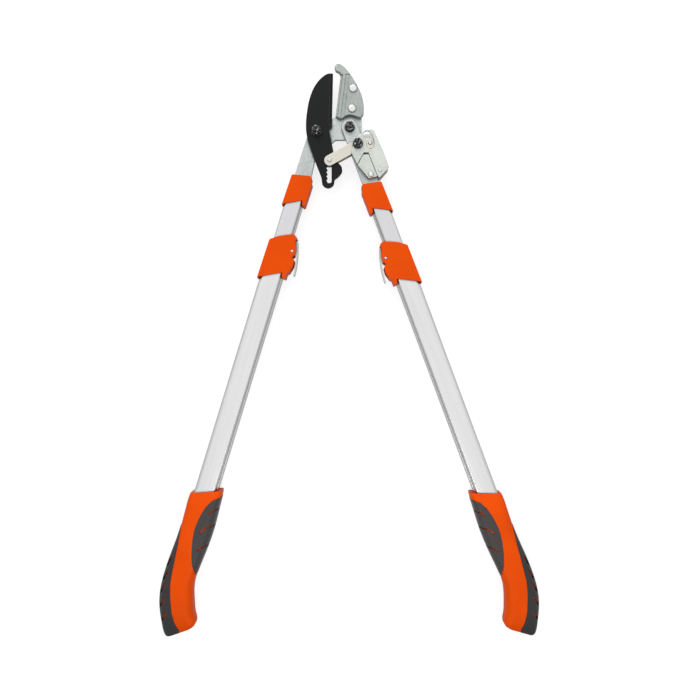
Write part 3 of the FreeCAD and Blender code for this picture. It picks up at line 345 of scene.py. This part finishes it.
def blasted_metal(name, colour, roughness, grain=1400.0, depth=0.02, tone=0.16):
    """Plated metal with a blasted surface: fine grain, cloudy tone, brighter edges and painted shade in corners
    and gaps.
    """
    recipe = Recipe(name)
    cloud = recipe.maths("ADD", recipe.noise(45.0, 4.0), recipe.noise(520.0, 2.0))
    base = recipe.mixed(
        recipe.spread(cloud, 0.8, 1.2), toned(colour, 1 - tone), toned(colour, 1 + tone / 2))
    wear = recipe.maths(
        "MULTIPLY", recipe.edges(sizes().edge_round), recipe.spread(recipe.noise(240.0), 0.35, 0.6))
    # Corners and gaps darkened with painted shade.
    base = recipe.painted_corner_shade(recipe.mixed(wear, base, toned(colour, 1.25)))
    rough = recipe.spread(recipe.noise(grain / 3, 2.0), 0.3, 0.7, roughness - 0.06, roughness + 0.08)
    recipe.set(Base_Color=base, Metallic=1.0, Roughness=rough)
    recipe.set(Normal=recipe.bumped(
        recipe.noise(grain, 2.0), 0.35, depth * MM, recipe.rounded(sizes().edge_round)))
    return recipe.material


def brushed_metal(name, colour, roughness, matrix, lines=900.0, tone=0.08, crown=0.0):
    """Metal with fine lines along y of a frame and painted shade in corners and gaps; a crown bows its face across
    the lines.
    """
    recipe = Recipe(name)
    along = recipe.placed(matrix)
    streak = recipe.noise(lines, 4.0, 0.6, recipe.stretched(along, 1.0, 0.012, 1.0))
    cloud = recipe.noise(9.0, 2.0, 0.5, recipe.stretched(along, 1.0, 0.4, 1.0))
    tones = recipe.maths(
        "ADD", recipe.spread(streak, 0.3, 0.7, 0.0, 0.6), recipe.spread(cloud, 0.3, 0.7, 0.0, 0.4))
    # Corners and gaps darkened with painted shade.
    base = recipe.painted_corner_shade(recipe.mixed(tones, toned(colour, 1 - tone), toned(colour, 1 + tone / 2)))
    rough = recipe.spread(streak, 0.25, 0.75, roughness - 0.05, roughness + 0.08)
    recipe.set(Base_Color=base, Metallic=1.0, Roughness=rough)
    across = recipe.add("ShaderNodeSeparateXYZ", {"Vector": along}).outputs["X"]
    bow = recipe.maths("MULTIPLY", recipe.maths("POWER", across, 2.0), -crown)
    bowed = recipe.bumped(bow, 1.0, 1.0, recipe.rounded(sizes().edge_round))
    recipe.set(Normal=recipe.bumped(streak, 0.25, 0.012 * MM, bowed))
    return recipe.material


def coated_steel(name, coating, steel):
    """Black non-stick coating with a fine orange peel, worn to steel along the ground edge."""
    recipe = Recipe(name)
    speck = recipe.spread(recipe.noise(900.0, 2.0), 0.35, 0.65)
    base = recipe.mixed(speck, toned(coating, 0.82), toned(coating, 1.25))
    wear = recipe.maths(
        "MULTIPLY", recipe.edges(BLADE_WEAR), recipe.spread(recipe.noise(160.0, 4.0), 0.42, 0.62))
    base = recipe.mixed(recipe.maths("MULTIPLY", wear, 0.35), base, steel)
    facing = recipe.add("ShaderNodeSeparateXYZ", {
        "Vector": recipe.add("ShaderNodeNewGeometry").outputs["Normal"]}).outputs["X"]
    honed = recipe.maths("MULTIPLY", recipe.edges(BLADE_HONED), recipe.spread(facing, 0.2, 0.3))
    base = recipe.mixed(recipe.maths("MULTIPLY", honed, 0.8), base, steel)
    smear = recipe.spread(recipe.noise(28.0, 5.0), 0.35, 0.65, 0.36, 0.5)
    recipe.set(Base_Color=base, Roughness=smear, Metallic=recipe.maths("MULTIPLY", honed, 0.8))
    recipe.set(IOR=1.33, Specular_IOR_Level=0.35)
    recipe.set(Normal=recipe.bumped(
        recipe.noise(1300.0, 2.0), 0.3, 0.02 * MM, recipe.rounded(sizes().edge_round)))
    return recipe.material


def oxide_steel(name, colour):
    """Oiled black oxide: dark metal with painted highlights as bright random flecks, edges brightened partly by
    wear and partly as painted highlights, and painted shade in corners.
    """
    recipe = Recipe(name)
    patch = recipe.spread(recipe.noise(420.0, 3.0), 0.35, 0.65)
    base = recipe.mixed(patch, toned(colour, 0.5), toned(colour, 1.6))
    # Random bright flecks: painted glints.
    glint = recipe.spread(recipe.noise(380.0, 3.0), 0.56, 0.64)
    # Brighter nut edges: part wear, part painted highlight.
    wear = recipe.maths(
        "MULTIPLY", recipe.edges(NUT_WEAR_AND_GLINT), recipe.spread(recipe.noise(260.0, 3.0), 0.42, 0.56))
    wear_and_glints = recipe.maths("MAXIMUM", recipe.maths("MULTIPLY", glint, 0.6), wear)
    # Corners and gaps darkened with painted shade.
    base = recipe.painted_corner_shade(recipe.mixed(wear_and_glints, base, GLINT_AND_WORN_STEEL))
    rough = recipe.spread(recipe.noise(700.0, 2.0), 0.3, 0.7, 0.14, 0.26)
    recipe.set(Base_Color=base, Metallic=0.9, Roughness=rough)
    recipe.set(Normal=recipe.bumped(
        recipe.noise(900.0, 2.0), 0.4, 0.03 * MM, recipe.rounded(NUT_ROUND)))
    return recipe.material


def moulded_plastic(name, colour, roughness=0.3):
    """Moulded hard plastic: spark-eroded grain, slight flow tone and rubbed edges."""
    recipe = Recipe(name)
    flow = recipe.spread(recipe.noise(26.0, 3.0), 0.3, 0.7)
    base = recipe.mixed(flow, toned(colour, 0.94), toned(colour, 1.04))
    rubbed = recipe.maths(
        "MULTIPLY", recipe.edges(PLASTIC_RUB), recipe.spread(recipe.noise(200.0, 3.0), 0.35, 0.65))
    base = recipe.mixed(recipe.maths("MULTIPLY", rubbed, 0.3), base, toned(colour, 1.35))
    rough = recipe.spread(recipe.noise(350.0, 3.0), 0.3, 0.7, roughness - 0.04, roughness + 0.08)
    recipe.set(Base_Color=base, Roughness=rough, IOR=1.49, Specular_IOR_Level=0.06)
    recipe.set(Subsurface_Weight=0.04, Subsurface_Scale=0.002)
    recipe.set(Normal=recipe.bumped(
        recipe.noise(2200.0, 2.0), 0.3, 0.02 * MM, recipe.rounded(MOULD_ROUND)))
    return recipe.material


def soft_rubber(name, colour):
    """Soft-touch moulding: matt, pebbled, with a dusty bloom on raised edges."""
    recipe = Recipe(name)
    bloom = recipe.spread(recipe.noise(60.0, 4.0), 0.35, 0.7)
    base = recipe.mixed(bloom, toned(colour, 0.85), toned(colour, 1.18))
    pebble = recipe.cells(1500.0)
    base = recipe.mixed(recipe.spread(pebble, 0.2, 0.7, 0.0, 0.35), base, toned(colour, 0.6))
    recipe.set(Base_Color=base, Roughness=recipe.spread(bloom, 0.0, 1.0, 0.55, 0.68), IOR=1.5)
    recipe.set(Sheen_Weight=0.12, Sheen_Roughness=0.5)
    recipe.set(Normal=recipe.bumped(pebble, 0.45, 0.05 * MM, recipe.rounded(MOULD_ROUND)))
    return recipe.material


def pressed_bright(name, colour):
    """Bright plated rivet: nearly polished, with fine handling marks and painted shade where it meets other parts.
    """
    recipe = Recipe(name)
    marks = recipe.noise(600.0, 4.0, 0.6)
    # Corners and gaps darkened with painted shade.
    base = recipe.painted_corner_shade(recipe.mixed(recipe.spread(marks, 0.3, 0.7), toned(colour, 0.88), colour))
    recipe.set(Base_Color=base, Metallic=1.0, Roughness=recipe.spread(marks, 0.3, 0.7, 0.07, 0.16))
    recipe.set(Normal=recipe.bumped(marks, 0.15, 0.02 * MM, recipe.rounded(RIVET_CROWN)))
    return recipe.material


def paint(material, *nodes):
    """Gives CAD nodes one finish."""
    for name in nodes:
        data = frame["nodes"][name].data
        data.materials.clear()
        data.materials.append(material)


# ---------------------------------------------------------------- pieces made here


def mesh_object(name, points, faces, smooth=False):
    data = bpy.data.meshes.new(name)
    data.from_pydata([tuple(p) for p in points], [], faces)
    data.validate()
    data.update()
    if smooth:
        data.polygons.foreach_set("use_smooth", [True] * len(data.polygons))
    made = bpy.data.objects.new(name, data)
    bpy.context.scene.collection.objects.link(made)
    return made


def copy_of(node, name):
    """A new piece with the mesh of a CAD node, outside the frame."""
    made = bpy.data.objects.new(name, frame["nodes"][node].data.copy())
    bpy.context.scene.collection.objects.link(made)
    return made


def upright_band(path, width, low, high):
    """Closed upright wall of one width that follows a path in the handle's plane."""
    points = []
    for index, here in enumerate(path):
        before = path[max(index - 1, 0)]
        after = path[min(index + 1, len(path) - 1)]
        along = (after - before).normalized()
        across = Vector((-along.y, along.x)) * (width / 2)
        for side in (-1, 1):
            for height in (low, high):
                points.append(Vector((here.x + side * across.x, here.y + side * across.y, height)))
    faces = []
    last = len(path) - 1
    for index in range(last):
        a = 4 * index
        b = a + 4
        faces += [(a, b, b + 1, a + 1), (a + 2, a + 3, b + 3, b + 2), (a + 1, b + 1, b + 3, a + 3),
                  (a, a + 2, b + 2, b)]
    end = 4 * last
    faces += [(0, 1, 3, 2), (end, end + 2, end + 3, end + 1)]
    return points, faces


# Thumb grooves: start across and up the handle, and reach across it; palm grooves: start alone.
THUMB_GROOVES = ((24.0, 44.2, 7.7), (26.4, 24.4, 12.8), (25.3, -0.2, 9.1))
PALM_GROOVES = ((-13.8, -36.6), (-12.8, -52.6), (-11.8, -69.0), (-7.6, -85.0), (-1.0, -101.2))
PALM_STEP = Vector((-1.0, 8.0))
PALM_BRIDGE = 2 * MM
GROOVE_OVERRUN = 10 * MM
GROOVE_STEPS = 10
THUMB_ARC = math.radians(82)
PALM_SLANT = math.radians(77)


def thumb_groove_path(start, reach):
    """Arc from the pad's inner edge, level at first and then curving down the handle."""
    radius = reach / math.sin(THUMB_ARC)
    path = []
    for step in range(-2, GROOVE_STEPS + 1):
        angle = THUMB_ARC * step / GROOVE_STEPS
        path.append(Vector((start.x - radius * math.sin(angle), start.y - radius * (1 - math.cos(angle)))))
    return path


def palm_groove_path(start, reach):
    """Straight slanted cut from the outer edge, leaning up the handle."""
    along = Vector((math.cos(PALM_SLANT), math.sin(PALM_SLANT)))
    return [start + along * reach * step / GROOVE_STEPS for step in range(GROOVE_STEPS + 1)]


def groove_cutter(side, paths, width, levels):
    """All the groove walls of one pad as one mesh, in the handle's place."""
    place = handle_matrix(side)
    mirror = 1 if side == "left" else -1
    points = []
    faces = []
    for path in paths:
        shown = [Vector((mirror * p.x, p.y)) for p in path]
        band, quads = upright_band(shown, width, *levels)
        start = len(points)
        points += [place @ p for p in band]
        faces += [tuple(start + corner for corner in quad) for quad in quads]
    cutter = mesh_object("groove_cutter", points, faces)
    return cutter


def cut_away(piece, cutter):
    """Subtracts a cutter from a piece for good."""
    modifier = piece.modifiers.new("Grooves", "BOOLEAN")
    modifier.object = cutter
    modifier.operation = "DIFFERENCE"
    modifier.solver = "EXACT"
    modifier.use_self = True
    depsgraph = bpy.context.evaluated_depsgraph_get()
    cut = bpy.data.meshes.new_from_object(piece.evaluated_get(depsgraph))
    if not cut.polygons:
        raise RuntimeError(f"{piece.name} has nothing left after its grooves are cut")
    piece.modifiers.clear()
    piece.data = cut
    bpy.data.objects.remove(cutter)


def grooved_pad(side, pad, cuts, material):
    """A soft pad with its grooves cut through to the hard grip; a cut is its paths and its levels."""
    node = f"{side}_{pad}"
    piece = copy_of(node, f"{side}_{pad}_grooved")
    for paths, levels in cuts:
        cut_away(piece, groove_cutter(side, paths, sizes().groove_width, levels))
    piece.data.materials.clear()
    piece.data.materials.append(material)
    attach(piece, side + "_slide")
    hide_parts(node)


SPRING_TURNS = 16
SPRING_STEPS = 24
HOOK_STEPS = 20


def spring_line(start, end, radius):
    """Centreline of an extension spring: hook, close turns, hook."""
    axis = (end - start).normalized()
    up = Vector((0, 0, 1))
    across = axis.cross(up).normalized()
    length = (end - start).length
    loop = 0.9 * radius
    body_start = 2 * loop
    body_length = length - 4 * loop
    line = []
    for step in range(HOOK_STEPS + 1):
        angle = math.pi * (1 - step / HOOK_STEPS) * 1.5
        line.append(start + axis * (loop - loop * math.cos(angle)) + across * (loop * math.sin(angle)))
    steps = SPRING_TURNS * SPRING_STEPS
    for step in range(steps + 1):
        angle = 2 * math.pi * step / SPRING_STEPS
        along = body_start + body_length * step / steps
        grow = min(1.0, step / SPRING_STEPS, (steps - step) / SPRING_STEPS)
        around = across * math.sin(angle) + up * math.cos(angle)
        line.append(start + axis * along + around * radius * grow)
    for step in range(HOOK_STEPS + 1):
        angle = math.pi * step / HOOK_STEPS * 1.5
        line.append(end - axis * (loop - loop * math.cos(angle)) + across * (loop * math.sin(angle)))
    return line


# ---------------------------------------------------------------- operators


class LOPPER_OT_blade(bpy.types.Operator):
    """Coat the blade."""

    bl_idname = "lopper.blade"
    bl_label = "Blade"

    def execute(self, context):
        paint(coated_steel("blade_coating", colours().blade_black, colours().ground_steel), "blade")
        return {"FINISHED"}


class LOPPER_OT_arms(bpy.types.Operator):
    """Plate and blast the two arms."""

    bl_idname = "lopper.arms"
    bl_label = "Arms"

    def execute(self, context):
        paint(blasted_metal("arm_plating", colours().arm, 0.42), "left_arm", "right_arm")
        return {"FINISHED"}


class LOPPER_OT_anvil(bpy.types.Operator):
    """Cast finish of the anvil, and its bright rivets."""

    bl_idname = "lopper.anvil"
    bl_label = "Anvil"

    def execute(self, context):
        paint(blasted_metal("anvil_casting", colours().anvil, 0.5, 900.0, 0.05, 0.18), "anvil")
        paint(pressed_bright("rivet_plating", colours().bright), "anvil_rivets", "keeper_rivet",
              "ratchet_pin", "tail_pin", "spring_anchor")
        return {"FINISHED"}


class LOPPER_OT_ratchet(bpy.types.Operator):
    """Plate the ratchet's links and sheet parts."""

    bl_idname = "lopper.ratchet"
    bl_label = "Ratchet"

    def execute(self, context):
        along_link = frame_between(middle("ratchet_pin"), middle("lever_bolt"))
        paint(brushed_metal("link_nickel", colours().nickel, 0.3, along_link, 1200.0),
              "link_front", "link_rear")
        paint(blasted_metal("sheet_zinc", colours().zinc, 0.36, 1800.0, 0.012, 0.13), "ratchet_bracket",
              "keeper_plate", "keeper_spacers", "lever_spacers")
        return {"FINISHED"}


class LOPPER_OT_fasteners(bpy.types.Operator):
    """Black oxide on bolts, washers and nuts."""

    bl_idname = "lopper.fasteners"
    bl_label = "Fasteners"

    def execute(self, context):
        names = [f"{bolt}_{piece}" for bolt in ("main", "blade", "lever")
                 for piece in ("bolt", "washer", "nut")]
        paint(oxide_steel("black_oxide", colours().black_oxide), *names)
        return {"FINISHED"}


class LOPPER_OT_spring(bpy.types.Operator):
    """Wind the ratchet's extension spring."""

    bl_idname = "lopper.spring"
    bl_label = "Ratchet spring"

    def execute(self, context):
        low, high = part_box("ratchet_spring")
        level = (low.z + high.z) / 2
        wire = sizes().wire
        radius = (high.z - low.z) / 2 - wire / 2
        start = middle("tail_pin")
        end = middle("spring_anchor")
        start.z = level
        end.z = level
        curve = bpy.data.curves.new("ratchet_spring_wire", "CURVE")
        curve.dimensions = "3D"
        curve.bevel_depth = wire / 2
        curve.bevel_resolution = 3
        curve.use_fill_caps = True
        line = spring_line(start, end, radius)
        spline = curve.splines.new("POLY")
        spline.points.add(len(line) - 1)
        for point, place in zip(spline.points, line):
            point.co = (place.x, place.y, place.z, 1.0)
        made = bpy.data.objects.new("ratchet_spring_wire", curve)
        bpy.context.scene.collection.objects.link(made)
        depsgraph = bpy.context.evaluated_depsgraph_get()
        mesh = bpy.data.meshes.new_from_object(made.evaluated_get(depsgraph))
        bpy.data.objects.remove(made)
        piece = bpy.data.objects.new("ratchet_spring_wire", mesh)
        bpy.context.scene.collection.objects.link(piece)
        mesh.materials.append(
            brushed_metal("spring_wire", colours().spring, 0.3, frame_between(start, end)))
        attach(piece, "right_head")
        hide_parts("ratchet_spring")
        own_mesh(piece)
        return {"FINISHED"}


TUBE_CROWN = 5.0


class LOPPER_OT_tubes(bpy.types.Operator):
    """Satin anodise the handle tubes, with drawing lines along them."""

    bl_idname = "lopper.tubes"
    bl_label = "Tubes"

    def execute(self, context):
        guide = moulded_plastic("guide_acetal", colours().guide_black, 0.4)
        for side in SIDES:
            tubes = (("inner_tube", colours().inner_tube), ("outer_tube", colours().outer_tube))
            for tube, colour in tubes:
                satin = brushed_metal(f"{side}_{tube}_anodised", colour, 0.34, handle_matrix(side),
                                      tone=0.12, crown=TUBE_CROWN)
                paint(satin, f"{side}_{tube}")
            paint(guide, side + "_guide_bush", side + "_end_plug", side + "_clamp_shoe")
        return {"FINISHED"}


class LOPPER_OT_collars(bpy.types.Operator):
    """Orange mouldings of the collars and the hard grips."""

    bl_idname = "lopper.collars"
    bl_label = "Collars and grips"

    def execute(self, context):
        orange = moulded_plastic("orange_moulding", colours().orange)
        for side in SIDES:
            paint(orange, side + "_upper_collar", side + "_clamp_collar", side + "_grip")
        return {"FINISHED"}


class LOPPER_OT_clamps(bpy.types.Operator):
    """Zinc levers, pins and rivets of the clamps."""

    bl_idname = "lopper.clamps"
    bl_label = "Clamps"

    def execute(self, context):
        bright = pressed_bright("pin_plating", colours().bright)
        for side in SIDES:
            lever = brushed_metal(side + "_lever_zinc", colours().zinc, 0.32, handle_matrix(side), 1100.0)
            paint(lever, side + "_clamp_lever")
            paint(bright, side + "_clamp_pin", side + "_tang_rivets")
        return {"FINISHED"}


class LOPPER_OT_pads(bpy.types.Operator):
    """Soft pads with grooves that show the orange grip under them."""

    bl_idname = "lopper.pads"
    bl_label = "Soft pads"

    def execute(self, context):
        thumb_rubber = soft_rubber("thumb_rubber", colours().soft_grey)
        # The palm pads take a darker copy of the same rubber: painted shade.
        palm_shaded_rubber = soft_rubber("palm_shaded_rubber", colours().palm_shaded_grey)
        thumb = [thumb_groove_path(Vector((across, up)) * MM, reach * MM)
                 for across, up, reach in THUMB_GROOVES]
        top, under = [
            [palm_groove_path((Vector(start) - step) * MM, sizes().palm_groove_length)
             for start in PALM_GROOVES]
            for step in (Vector((0, 0)), PALM_STEP)]
        low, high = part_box("left_grip")
        centre = (low.z + high.z) / 2
        whole = (low.z - GROOVE_OVERRUN, high.z + GROOVE_OVERRUN)
        for side in SIDES:
            grooved_pad(side, "thumb_pad", [(thumb, whole)], thumb_rubber)
            grooved_pad(side, "palm_pad", [
                (top, (centre + PALM_BRIDGE, whole[1])), (under, (whole[0], centre - PALM_BRIDGE))],
                palm_shaded_rubber)
        return {"FINISHED"}


class LOPPER_OT_stage(bpy.types.Operator):
    """Pale floor, soft light and the camera above the lopper."""

    bl_idname = "lopper.stage"
    bl_label = "Stage"

    def execute(self, context):
        make_floor()
        make_sky()
        make_softbox("key_softbox", KEY_PLACE, KEY_AIM, KEY_SIZE, studio().key_power)
        make_softbox("grip_softbox", GRIP_PLACE, GRIP_AIM, GRIP_SIZE, studio().grip_power, GRIP_SPREAD)
        make_camera()
        context.scene.view_settings.view_transform = "Standard"
        return {"FINISHED"}


# ---------------------------------------------------------------- stage

FLOOR_REACH = 30.0
FLOOR_GAP = 0.3 * MM


def make_floor():
    corners = [(-FLOOR_REACH, -FLOOR_REACH), (FLOOR_REACH, -FLOOR_REACH),
               (FLOOR_REACH, FLOOR_REACH), (-FLOOR_REACH, FLOOR_REACH)]
    level = CAD_BOX[0].z - FLOOR_GAP
    floor = mesh_object("floor", [(x, y, level) for x, y in corners], [(0, 1, 2, 3)])
    recipe = Recipe("studio_floor")
    tone = recipe.spread(recipe.noise(3.0, 2.0), 0.3, 0.7)
    recipe.set(Base_Color=recipe.mixed(tone, shade(148, 148, 148), shade(152, 152, 152)))
    path = recipe.add("ShaderNodeLightPath")
    seen = recipe.maths("MULTIPLY", path.outputs["Is Camera Ray"], studio().floor_glow)
    mirrored = recipe.maths("MULTIPLY", path.outputs["Is Glossy Ray"], studio().mirrored_glow)
    recipe.set(Emission_Color=(1.0, 1.0, 1.0, 1.0))
    recipe.set(Emission_Strength=recipe.maths("ADD", seen, mirrored))
    recipe.set(Roughness=recipe.spread(recipe.noise(40.0), 0.3, 0.7, 0.75, 0.85))
    floor.data.materials.append(recipe.material)


# How far behind the grips and beyond the head the low sky changes, as a share of straight that way.
SKY_BEHIND = -0.45
SKY_BEYOND = 0.6
# How much a side counts as beyond the head, low down in the sky.
SIDE_SHARE = 0.45
# Heights between which the low sky turns into the sky overhead.
SKY_LOW = 0.15
SKY_HIGH = 0.92


def make_sky():
    """Bright overhead and beyond the head, and dark behind the grips; seen directly, an even pale."""
    world = bpy.data.worlds.new("studio_sky")
    world.use_nodes = True
    tree = world.node_tree
    place = tree.nodes.new("ShaderNodeTexCoord")
    parts = tree.nodes.new("ShaderNodeSeparateXYZ")
    aside = tree.nodes.new("ShaderNodeMath")
    aside.operation = "ABSOLUTE"
    lean = tree.nodes.new("ShaderNodeMath")
    lean.operation = "MULTIPLY_ADD"
    low = tree.nodes.new("ShaderNodeMapRange")
    all_over = tree.nodes.new("ShaderNodeMapRange")
    all_over.interpolation_type = "SMOOTHSTEP"
    tree.links.new(place.outputs["Generated"], parts.inputs["Vector"])
    tree.links.new(parts.outputs["X"], aside.inputs[0])
    tree.links.new(aside.outputs["Value"], lean.inputs[0])
    tree.links.new(parts.outputs["Y"], lean.inputs[2])
    tree.links.new(lean.outputs["Value"], low.inputs["Value"])
    tree.links.new(parts.outputs["Z"], all_over.inputs["Value"])
    tree.links.new(low.outputs["Result"], all_over.inputs["To Min"])
    settings = (
        (low, "From Min", SKY_BEHIND), (low, "From Max", SKY_BEYOND),
        (low, "To Min", studio().horizon_behind), (low, "To Max", studio().horizon_beyond),
        (all_over, "From Min", SKY_LOW), (all_over, "From Max", SKY_HIGH),
        (all_over, "To Max", studio().sky),
    )
    for node, name, value in settings:
        node.inputs[name].default_value = value
    lean.inputs[1].default_value = SIDE_SHARE
    background = tree.nodes["Background"]
    background.inputs["Color"].default_value = (1.0, 1.0, 1.0, 1.0)
    seen = tree.nodes.new("ShaderNodeMix")
    seen.inputs["B"].default_value = studio().backdrop
    path = tree.nodes.new("ShaderNodeLightPath")
    tree.links.new(path.outputs["Is Camera Ray"], seen.inputs["Factor"])
    tree.links.new(all_over.outputs["Result"], seen.inputs["A"])
    tree.links.new(seen.outputs["Result"], background.inputs["Strength"])
    bpy.context.scene.world = world


KEY_PLACE = (-0.35, 1.5, 0.9)
KEY_AIM = (0, 0.1, 0)
KEY_SIZE = (1.4, 0.8)
GRIP_PLACE = (0, -0.56, 0.4)
GRIP_AIM = (0, -0.28, 0.03)
GRIP_SIZE = (0.06, 0.25)
GRIP_SPREAD = math.radians(52)


def make_softbox(name, place, aim, size, power, spread=math.pi):
    """Oblong soft light at a place, turned to what it lights."""
    data = bpy.data.lights.new(name, "AREA")
    data.shape = "RECTANGLE"
    data.size, data.size_y = size
    data.energy = power
    data.spread = spread
    light = bpy.data.objects.new(name, data)
    light.location = place
    light.rotation_euler = (Vector(aim) - light.location).to_track_quat("-Z", "Y").to_euler()
    bpy.context.scene.collection.objects.link(light)


CAMERA_FROM_PIVOT = Vector((0.33, -266.64)) * MM


def make_camera():
    data = bpy.data.cameras.new("overhead_camera")
    data.angle = studio().view_angle
    camera = bpy.data.objects.new("overhead_camera", data)
    place = middle("main_bolt").xy + CAMERA_FROM_PIVOT
    camera.location = (place.x, place.y, studio().camera_height)
    bpy.context.scene.collection.objects.link(camera)
    bpy.context.scene.camera = camera


# ---------------------------------------------------------------- panel and registration

OPERATORS = (
    LOPPER_OT_blade, LOPPER_OT_arms, LOPPER_OT_anvil, LOPPER_OT_ratchet, LOPPER_OT_fasteners,
    LOPPER_OT_spring, LOPPER_OT_tubes, LOPPER_OT_collars, LOPPER_OT_clamps, LOPPER_OT_pads,
    LOPPER_OT_stage,
)


class LOPPER_PT_build(bpy.types.Panel):
    """Lists the lopper's pieces, colours and sizes."""

    bl_idname = "LOPPER_PT_build"
    bl_label = "Ratchet Anvil Lopper"
    bl_space_type = "VIEW_3D"
    bl_region_type = "UI"
    bl_category = "Lopper"

    def draw(self, context):
        for operator in OPERATORS:
            self.layout.operator(operator.bl_idname)
        for group in (colours(), sizes(), studio()):
            box = self.layout.box()
            for name in group.__annotations__:
                box.prop(group, name)


GROUPS = (
    ("lopper_colours", LopperColours),
    ("lopper_sizes", LopperSizes),
    ("lopper_studio", LopperStudio),
)


def register():
    for name, group in GROUPS:
        bpy.utils.register_class(group)
        setattr(bpy.types.Scene, name, bpy.props.PointerProperty(type=group))
    for operator in OPERATORS:
        bpy.utils.register_class(operator)
    bpy.utils.register_class(LOPPER_PT_build)


def unregister():
    bpy.utils.unregister_class(LOPPER_PT_build)
    for operator in reversed(OPERATORS):
        bpy.utils.unregister_class(operator)
    for name, group in reversed(GROUPS):
        delattr(bpy.types.Scene, name)
        bpy.utils.unregister_class(group)


def main():
    register()
    for operator in OPERATORS:
        family, name = operator.bl_idname.split(".")
        getattr(getattr(bpy.ops, family), name)()


if __name__ == "__main__":
    main()
